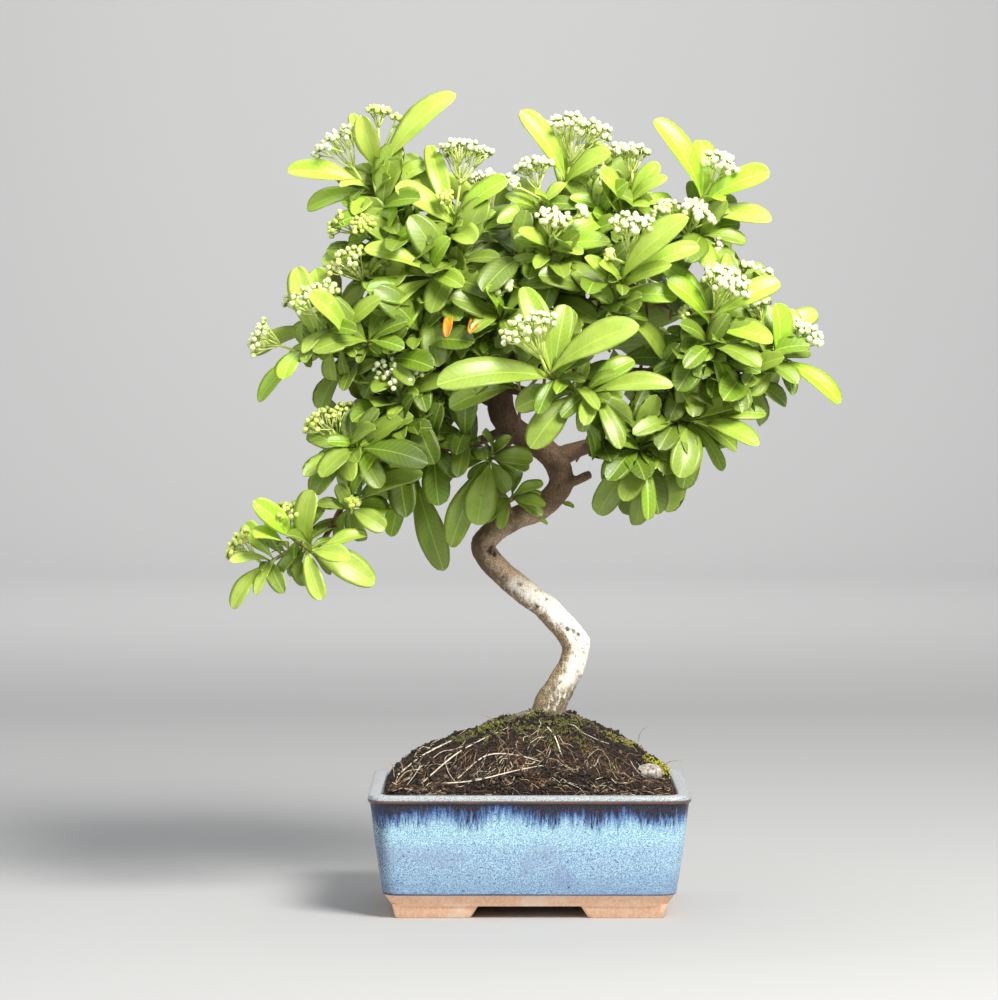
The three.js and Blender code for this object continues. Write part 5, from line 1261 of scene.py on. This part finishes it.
def make_spurs():
    """Short leafy spurs along the branches, whose older, darker leaves fill the crown between the sprays; the
    darkness is partly painted shade.
    """
    tree = tree_of([p for n in range(len(SPRAYS)) for p in cad_points(f"leafy_spray_{n + 1:02d}")])
    sheets = [Sheet() for _ in range(SPUR_GROUPS)]
    rng = random.Random(SPUR_SEED)
    for number, (_, _, path) in enumerate(BRANCHES[:-1] + TWIGS):
        sheet = sheets[number % SPUR_GROUPS]
        points = [Vector(p) for p in path]
        length = sum((b - a).length for a, b in zip(points, points[1:]))
        first_place = SPUR_START if number < len(BRANCHES) - 1 else 0
        count = max(1, round(length * (1 - first_place) / SPUR_SPACING))
        for k in range(count):
            u = first_place + (1 - first_place) * (k + rng.random()) / count
            foot = curve_point(points, u)
            ahead = curve_point(points, min(1, u + 0.05))
            along = (ahead - curve_point(points, max(0, u - 0.05))).normalized()
            side = spin(GOLDEN_ANGLE * k + number, along) @ along.orthogonal().normalized()
            axis = (side + UP * 0.3 + along * 0.35).normalized()
            head = foot + axis * rng.uniform(*SPUR_LENGTH)
            if head.z < LOWEST_SPUR and head.x < 0:
                continue
            is_back = head.y > BACK_SPUR_Y
            middle = foot.lerp(head, 0.5) + side * 0.5
            limb(sheet, [foot, middle, head], [1.1, 0.9, 0.7], 6, 4, tint=(0.9, 0, 0), slot=2)
            across = axis.orthogonal().normalized()
            for n in range(SPUR_LEAVES):
                start = foot.lerp(head, 0.4 + 0.6 * n / (SPUR_LEAVES - 1))
                turn = spin(GOLDEN_ANGLE * n + rng.random() * 0.5, axis)
                direction = (turn @ across + axis * rng.uniform(0.1, 0.9)).normalized()
                reach = rng.uniform(*SPUR_LEAF_REACH)
                while reach > SHORTEST_LEAF and tree.find(start + direction * reach)[2] > CROWN_REACH:
                    reach -= 4
                if reach <= SHORTEST_LEAF:
                    continue
                draw = rng.random()
                end = start + direction * reach
                if hides_trunk(end) or hides_trunk(start.lerp(end, 0.5)):
                    continue
                # Spur leaves are set older and darker, partly as painted shade inside the crown
                age_and_shade = min(1, 0.45 + 0.42 * leaf_age_and_shade(end, draw) + 0.35 * draw)
                width = reach * rng.uniform(*SPUR_LEAF_WIDTH)
                leaf(sheet, start, end, width, is_back, age_and_shade, draw, PLAIN_ROWS)
    for leaves, age_and_shade, draw in ((FADED_LEAVES, 2, 0.4), (TRUNK_SHOOTS, 0.3, 0.5)):
        for foot, end, width in leaves:
            leaf(sheets[0], Vector(foot), Vector(end), width, False, age_and_shade, draw)
    for number, sheet in enumerate(sheets):
        piece = sheet.make(f"inner_leaves_{number + 1}", [LEAF_TOP, LEAF_UNDER, GREEN_STEM])
        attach(piece, "root")


# Bud heads
BUD_CROWDING = 1.75
BUDS_PER_RAY = 4.2
BUD_PROFILE = [(-1.0, 0.2), (-0.8, 0.62), (-0.45, 0.93), (-0.05, 1.0), (0.35, 0.9), (0.74, 0.64), (1.02, 0.3)]


def bud(sheet, root, centre, radius, ripe, draw, slot):
    """One bud on its stalk: a round bud over a green cup."""
    along = (centre - root).normalized()
    side = along.cross(Vector((0.2, 0.3, 0.93))).normalized()
    beside = along.cross(side)
    foot = centre - along * (0.9 * radius)
    middle = root.lerp(foot, 0.5) + beside * ((draw - 0.5) * 1.2)
    limb(sheet, [root, middle, foot], [0.34, 0.3, 0.42], 4, 3, tint=(draw, 0, 0), slot=slot + 1)
    rings = []
    for height, share in BUD_PROFILE:
        ring = []
        for n in range(BUD_SIDES):
            angle = 2 * math.pi * n / BUD_SIDES
            seam = 1 - 0.035 * math.cos(5 * angle + draw * 6)
            r = radius * share * seam
            p = at_angle(centre + along * (height * radius), side, beside, r, angle)
            ring.append(sheet.point(p, tint=(ripe, draw, (height + 1) / 2)))
        rings.append(ring)
    rings.append([sheet.point(centre + along * (radius * 1.14), tint=(ripe, draw, 1))])
    sheet.loft(rings, lambda _: slot)


def bud_head(sheet, head, stems, rng, slot, lead=GAP):
    """A stem's crowns of buds on branched stalks, that start a little before or past the stem's tip."""
    number, *crowns = head
    stem_tip = stems[number]["to"]
    fork = None
    for x, y, z, spread, buds, *share_white in crowns:
        crown = Vector((x, y, z))
        axis = (crown - stem_tip).normalized()
        hub = crown - axis * min(spread * 0.85, (crown - stem_tip).length - 3)
        start = fork or stem_tip + axis * lead
        radii = [PEDUNCLE_RADIUS, PEDUNCLE_RADIUS * 0.85]
        limb(sheet, [start, hub], radii, 7, 3, tint=(0.3, 0, 0), slot=slot + 1)
        fork = fork or start + axis * (NUB_LENGTH + 0.4)
        count = round(buds * BUD_CROWDING)
        across = axis.cross(Vector((0.1, 0.97, 0.2))).normalized()
        ripe_head = share_white[0] if share_white else 1
        down = (start - hub).length
        radial = spread - BUD_RADIUS
        rays = []
        ray_count = max(2, round(count / BUDS_PER_RAY))
        for j in range(ray_count):
            share = 0.8 * math.sqrt((j + 0.5) / ray_count)
            direction = spin(GOLDEN_ANGLE * j + 1, axis) @ across
            aim = crown + direction * (share * radial)
            foot = hub - axis * min(down * 0.7, rng.uniform(0, 0.3) * spread)
            knee = foot.lerp(aim, rng.uniform(0.5, 0.68)) + direction * 0.8
            limb(sheet, [foot, foot.lerp(knee, 0.5) + direction * 0.5, knee], [0.62, 0.52, 0.46], 5, 3,
                 tint=(0.5, 0, 0), slot=slot + 1)
            rays.append((aim, knee))
        for i in range(count):
            share = math.sqrt((i + 0.4) / count)
            direction = spin(GOLDEN_ANGLE * i + rng.uniform(-0.3, 0.3), axis) @ across
            centre = crown + direction * (share * radial)
            centre += axis * (spread * 0.26 * (1 - share ** 2) + rng.uniform(-0.17, 0.1) * spread)
            knee = min(rays, key=lambda ray: (ray[0] - centre).length)[1]
            radius = BUD_RADIUS * rng.uniform(0.8, 1.02) * (0.8 + 0.2 * ripe_head)
            ripe = min(1, max(0, ripe_head - rng.random() * 0.35 * (0.4 + share)))
            bud(sheet, knee, centre, radius, ripe, rng.random(), slot)


def make_heads(all_stems):
    count = 0
    for spray, stems in zip(SPRAYS, all_stems):
        if spray.fused:
            continue
        for head in spray.heads:
            count += 1
            rng = random.Random(HEAD_SEED + count)
            sheet = Sheet()
            bud_head(sheet, head, stems, rng, 0)
            piece = sheet.make(f"heads_{count:02d}", [BUD, STALK])
            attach(piece, "root")
            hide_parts(f"bud_heads_{count:02d}")


# Small growth on the compost
# Colours of the fibres and how often each comes
FIBRE_COLOURS = [
    (srgb(178, 152, 116), 3), (srgb(118, 78, 50), 4), (srgb(84, 58, 38), 5), (srgb(230, 218, 192), 2),
    (srgb(44, 32, 24), 8),
]
# Dry stalks that stand in the compost: their foot, lean and height
STANDING_STALKS = [(-80, -20, -3, 9), (-71, -30, -2, 7), (62, 5, 6, 12), (80, -6, 12, 4), (-20, -8, -7, 6)]
WHITE_ROOTS = [
    [(-49, -55), (-30, -57), (-8, -56), (8, -54)],
    [(-60, -50), (-42, -42), (-26, -30), (-12, -22)],
    [(-40, -53), (-24, -46), (-8, -50), (6, -52)],
    [(10, -26), (14, -38), (18, -50)],
    [(-74, -30), (-60, -22), (-44, -14)],
]


def on_soil(x, y, lift):
    return Vector((x, y, surface_height(x, y) + lift))


def inside_pot(x, y):
    return abs(x) < DRESSED_HALF_X and abs(y) < DRESSED_HALF_Y


def make_fibres():
    rng = random.Random(FIBRE_SEED)
    sheet = Sheet()
    palette = [colour for colour, share in FIBRE_COLOURS for _ in range(share)]
    for path in WHITE_ROOTS:
        points = [on_soil(x, y, 0.9) for x, y in path]
        limb(sheet, points, [0.42, 0.45, 0.34, 0.2][:len(points)], 6, 16, tint=srgb(238, 226, 202))
    for _ in range(SOIL_FIBRES):
        x = rng.uniform(-76, 78)
        y = rng.uniform(-54, 54)
        if rng.random() < 0.6:
            y = rng.uniform(-58, -30)
        if rng.random() < 0.35:
            y = rng.uniform(-57, -50)
        heading = math.atan2(y, x - TRUNK_FOOT[0]) + rng.gauss(0, 0.8)
        points = []
        step = rng.uniform(2.2, 6.5)
        lift = rng.uniform(0.1, 1.4)
        for k in range(FIBRE_POINTS):
            if not inside_pot(x, y):
                break
            bow = 1.1 * math.sin(math.pi * k / (FIBRE_POINTS - 1))
            points.append(on_soil(x, y, lift * bow + 0.15))
            heading += rng.gauss(0, 0.55)
            x += step * math.cos(heading)
            y += step * math.sin(heading)
        if len(points) < 3:
            continue
        radius = rng.uniform(0.1, 0.34)
        radii = [radius * (1 - 0.6 * k / len(points)) for k in range(len(points))]
        limb(sheet, points, radii, 4, 2 * len(points), tint=rng.choice(palette))
    for _ in range(WALL_FIBRES):
        is_front = rng.random() < FRONT_SHARE
        column = (rng.uniform(FRONT_START, 1) if is_front else rng.uniform(0, 1)) * SOIL_AROUND
        height = rng.uniform(0.1, 1)
        heading = rng.choice((-1, 1)) * rng.uniform(0.6, 2.6)
        points = []
        for _ in range(FIBRE_POINTS):
            points.append(on_wall(column, height, rng.uniform(0.1, 0.7)))
            column += heading
            height = min(1.05, max(0, height + rng.gauss(0, 0.16)))
        radius = rng.uniform(0.12, 0.3)
        radii = [radius * (1 - 0.1 * k) for k in range(FIBRE_POINTS)]
        limb(sheet, points, radii, 4, 10, tint=rng.choice(palette))
    for x, y, dx, dz in STANDING_STALKS:
        foot = on_soil(max(-76, min(76, x)), y, 0)
        points = [foot, foot + Vector((dx * 0.3, 0, dz * 0.7)), foot + Vector((dx, 0, dz))]
        limb(sheet, points, [0.3, 0.25, 0.12], 4, 9, tint=srgb(180, 160, 128))
    piece = sheet.make("fibrous_roots", [FIBRE])
    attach(piece, "root")


def make_crumbs():
    """Bark chips and crumbs on the mound."""
    rng = random.Random(CRUMB_SEED)
    sheet = Sheet()
    shades = [srgb(26, 20, 16), srgb(38, 29, 23), srgb(58, 43, 33), srgb(118, 96, 74), srgb(12, 10, 9),
              srgb(20, 16, 13), srgb(32, 26, 20), srgb(50, 40, 28)]
    for number in range(SOIL_CRUMBS + WALL_CRUMBS):
        x = rng.uniform(-77, 78)
        y = rng.uniform(-57, 56) if rng.random() < 0.6 else rng.uniform(-57.5, -46)
        size = rng.uniform(0.5, 1.7)
        centre = on_soil(x, y, size * 0.2)
        if number >= SOIL_CRUMBS:
            column = rng.uniform(FRONT_START, 1) if rng.random() < FRONT_SHARE else rng.random()
            centre = on_wall(column * SOIL_AROUND, rng.random(), size * 0.15)
        tint = rng.choice(shades)
        angle = rng.uniform(0, 6.3)
        axis = Vector((rng.gauss(0, 1), rng.gauss(0, 1), 1)).normalized()
        turn = spin(angle, axis)
        flat = rng.uniform(0.35, 0.9)
        rows = []
        for height, radius in ((-0.8, 0.5), (0, 1), (0.7, 0.6)):
            ring = []
            for n in range(CRUMB_SIDES):
                angle = 2 * math.pi * n / CRUMB_SIDES
                r = size * radius * rng.uniform(0.7, 1.2)
                q = Vector((r * math.cos(angle), r * math.sin(angle) * 0.8, height * size * flat))
                ring.append(sheet.point(centre + turn @ q, tint=tint))
            rows.append(ring)
        sheet.loft(rows)
    piece = sheet.make("compost_crumbs", [FIBRE], smooth=False)
    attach(piece, "root")


# Moss tufts: their middle, radius and how bright they are
MOSS_PATCHES = [
    (75, -25, 8, 1.0), (69, -22, 5, 1.0), (-14, -12, 9, 0.6), (-26, -9, 8, 0.8), (-19, -17, 6, 0.75),
    (30, -8, 7, 0.6), (4, -12, 7, 0.7), (16, -18, 7, 0.5), (27, -14, 7, 0.6), (10, -28, 8, 0.6),
    (22, -30, 8, 0.65), (14, -42, 6, 0.5), (44, -18, 6, 0.75), (52, -6, 7, 0.85), (60, 2, 6, 0.8),
    (-38, -20, 5, 0.5), (40, 20, 12, 0.5), (-16, 22, 13, 0.5), (-56, 28, 10, 0.5), (48, 40, 8, 0.6),
    (46, -50, 5, 0.5), (-33, -14, 8, 0.65), (-42, -10, 7, 0.55), (-4, -26, 8, 0.55), (2, -36, 7, 0.5),
    (32, -40, 7, 0.5), (-22, -30, 7, 0.55),
]


def make_moss():
    """Tufts of tiny pointed leaves."""
    rng = random.Random(MOSS_SEED)
    sheet = Sheet()
    for x, y, radius, bright in MOSS_PATCHES:
        for _ in range(int(radius * radius * MOSS_DENSITY)):
            angle = rng.uniform(0, 2 * math.pi)
            out = radius * math.sqrt(rng.random())
            px = x + out * math.cos(angle)
            py = y + out * math.sin(angle)
            if not inside_pot(px, py):
                continue
            if noise.noise(Vector((px * 0.35, py * 0.35, 5))) < -0.12 and bright < BRIGHT_MOSS:
                continue
            dome = 1 - (out / radius) ** 2
            foot = on_soil(px, py, -0.2 + dome * (5 if bright > BRIGHT_MOSS else 0.6))
            shade = rng.random()
            low = Vector(srgb(38, 40, 20)).lerp(Vector(srgb(150, 150, 30)), bright ** 5)
            high = Vector(srgb(116, 122, 66)).lerp(Vector(srgb(226, 222, 84)), bright ** 5)
            tint = tuple(low.lerp(high, shade))
            for _ in range(MOSS_BLADES):
                lean = Vector((rng.gauss(0, 0.55), rng.gauss(0, 0.55), 1)).normalized()
                end = foot + lean * rng.uniform(0.9, 1.9)
                line = [foot, foot.lerp(end, 0.5), end]
                limb(sheet, line, [0.14, 0.34, 0.1], 3, 2, tint=tint, pointed=True)
    piece = sheet.make("moss_tufts", [FIBRE])
    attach(piece, "root")


def make_stone():
    sheet = Sheet()
    z = soil_height(*STONE_AT) + 1.2
    rings = []
    for row in range(STONE_ROWS + 1):
        polar = math.pi * row / STONE_ROWS
        ring = []
        for n in range(STONE_AROUND if 0 < row < STONE_ROWS else 1):
            angle = -2 * math.pi * n / STONE_AROUND
            level = math.sin(polar)
            d = Vector((-math.cos(angle) * level, math.sin(angle) * level, math.cos(polar)))
            lump = 1 + 0.09 * math.sin(3 * d.x + 2 * d.y) + 0.07 * math.cos(4 * d.y - d.z)
            lump += 0.05 * noise.noise(d * 3.1)
            middle = (*STONE_AT, z)
            ring.append(sheet.point([middle[a] + d[a] * STONE_RADII[a] * lump for a in range(3)]))
        rings.append(ring)
    sheet.loft(list(reversed(rings)))
    piece = sheet.make("pale_stone_piece", [STONE])
    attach(piece, "root")
    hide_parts("stone_pale")


# Camera, light and floor
def make_camera():
    data = bpy.data.cameras.new("camera")
    data.lens = CAMERA_LENS
    data.sensor_width = SENSOR_WIDTH
    data.clip_end = CAMERA_FAR
    camera = linked("camera", data)
    camera.location = Vector(CAMERA_AT) * MM
    camera.rotation_euler = (math.radians(90 - CAMERA_PITCH), 0, 0)
    bpy.context.scene.camera = camera


def area_light(name, place, target, size, energy, colour):
    data = bpy.data.lights.new(name, "AREA")
    data.size = size
    data.energy = energy
    data.color = colour
    lamp = linked(name, data)
    lamp.location = place
    lamp.rotation_euler = (Vector(target) - Vector(place)).to_track_quat("-Z", "Y").to_euler()


# Lights and floor, in metres: a light's place, target, size, power and colour
PART_MIDDLE = (0, 0, 0.26)
LIGHTS = [
    ("key", (0.85, -1.2, 1.6), PART_MIDDLE, 0.75, 74, (1.0, 0.98, 0.94)),
    ("fill", (-1.5, -1.3, 0.8), PART_MIDDLE, 1.4, 10, (0.92, 0.96, 1.0)),
    ("back", (-0.4, 0.5, 2.2), PART_MIDDLE, 1.4, 14, (1.0, 1.0, 1.0)),
    ("backdrop", (-0.1, 1.7, 1.9), (-0.1, 3.8, 1.2), 1.2, 52, (1.0, 0.995, 0.98)),
]
SKY_COLOUR = (0.93, 0.96, 1.0, 1)
SKY_STRENGTH = 0.35
FLOOR_GREY = (0.43, 0.43, 0.43, 1)
FLOOR_FRONT = -4
FLOOR_HALF_WIDTH = 5
SWEEP_START = 2.7
SWEEP_RADIUS = 1.1
SWEEP_STEPS = 24
SWEEP_TOP = 4


def make_stage():
    world = bpy.data.worlds.new("studio")
    world.use_nodes = True
    background = world.node_tree.nodes["Background"]
    background.inputs["Color"].default_value = SKY_COLOUR
    background.inputs["Strength"].default_value = SKY_STRENGTH
    bpy.context.scene.world = world
    for light in LIGHTS:
        area_light(*light)
    rows = [(FLOOR_FRONT, 0), (SWEEP_START, 0)]
    for k in range(1, SWEEP_STEPS + 1):
        angle = math.radians(90 * k / SWEEP_STEPS)
        rows.append((SWEEP_START + SWEEP_RADIUS * math.sin(angle), SWEEP_RADIUS * (1 - math.cos(angle))))
    rows.append((SWEEP_START + SWEEP_RADIUS, SWEEP_TOP))
    points = [(x, y, z) for y, z in rows for x in (-FLOOR_HALF_WIDTH, FLOOR_HALF_WIDTH)]
    faces = [(2 * k, 2 * k + 1, 2 * k + 3, 2 * k + 2) for k in range(len(rows) - 1)]
    mesh = bpy.data.meshes.new("floor")
    mesh.from_pydata(points, [], faces)
    for face in mesh.polygons:
        face.use_smooth = True
    floor = linked("floor", mesh)
    s = Shader("floor_paint")
    mesh.materials.append(s.finish(FLOOR_GREY, 0.9))
    bpy.context.scene.view_settings.view_transform = "Standard"


WALL_FOOT = rim_ring()
WALL_TOP = [Vector(p) for p in mound_ring(11, SOIL_REACH)]
make_camera()
make_stage()
make_pot()
make_soil()
make_stone()
make_wood()
stems_by_spray = [make_spray(n, spray) for n, spray in enumerate(SPRAYS)]
make_heads(stems_by_spray)
make_spurs()
make_fibres()
make_crumbs()
make_moss()
for net in ("drainage_mesh_left", "drainage_mesh_right"):
    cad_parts[net].data.materials.clear()
    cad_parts[net].data.materials.append(NET)
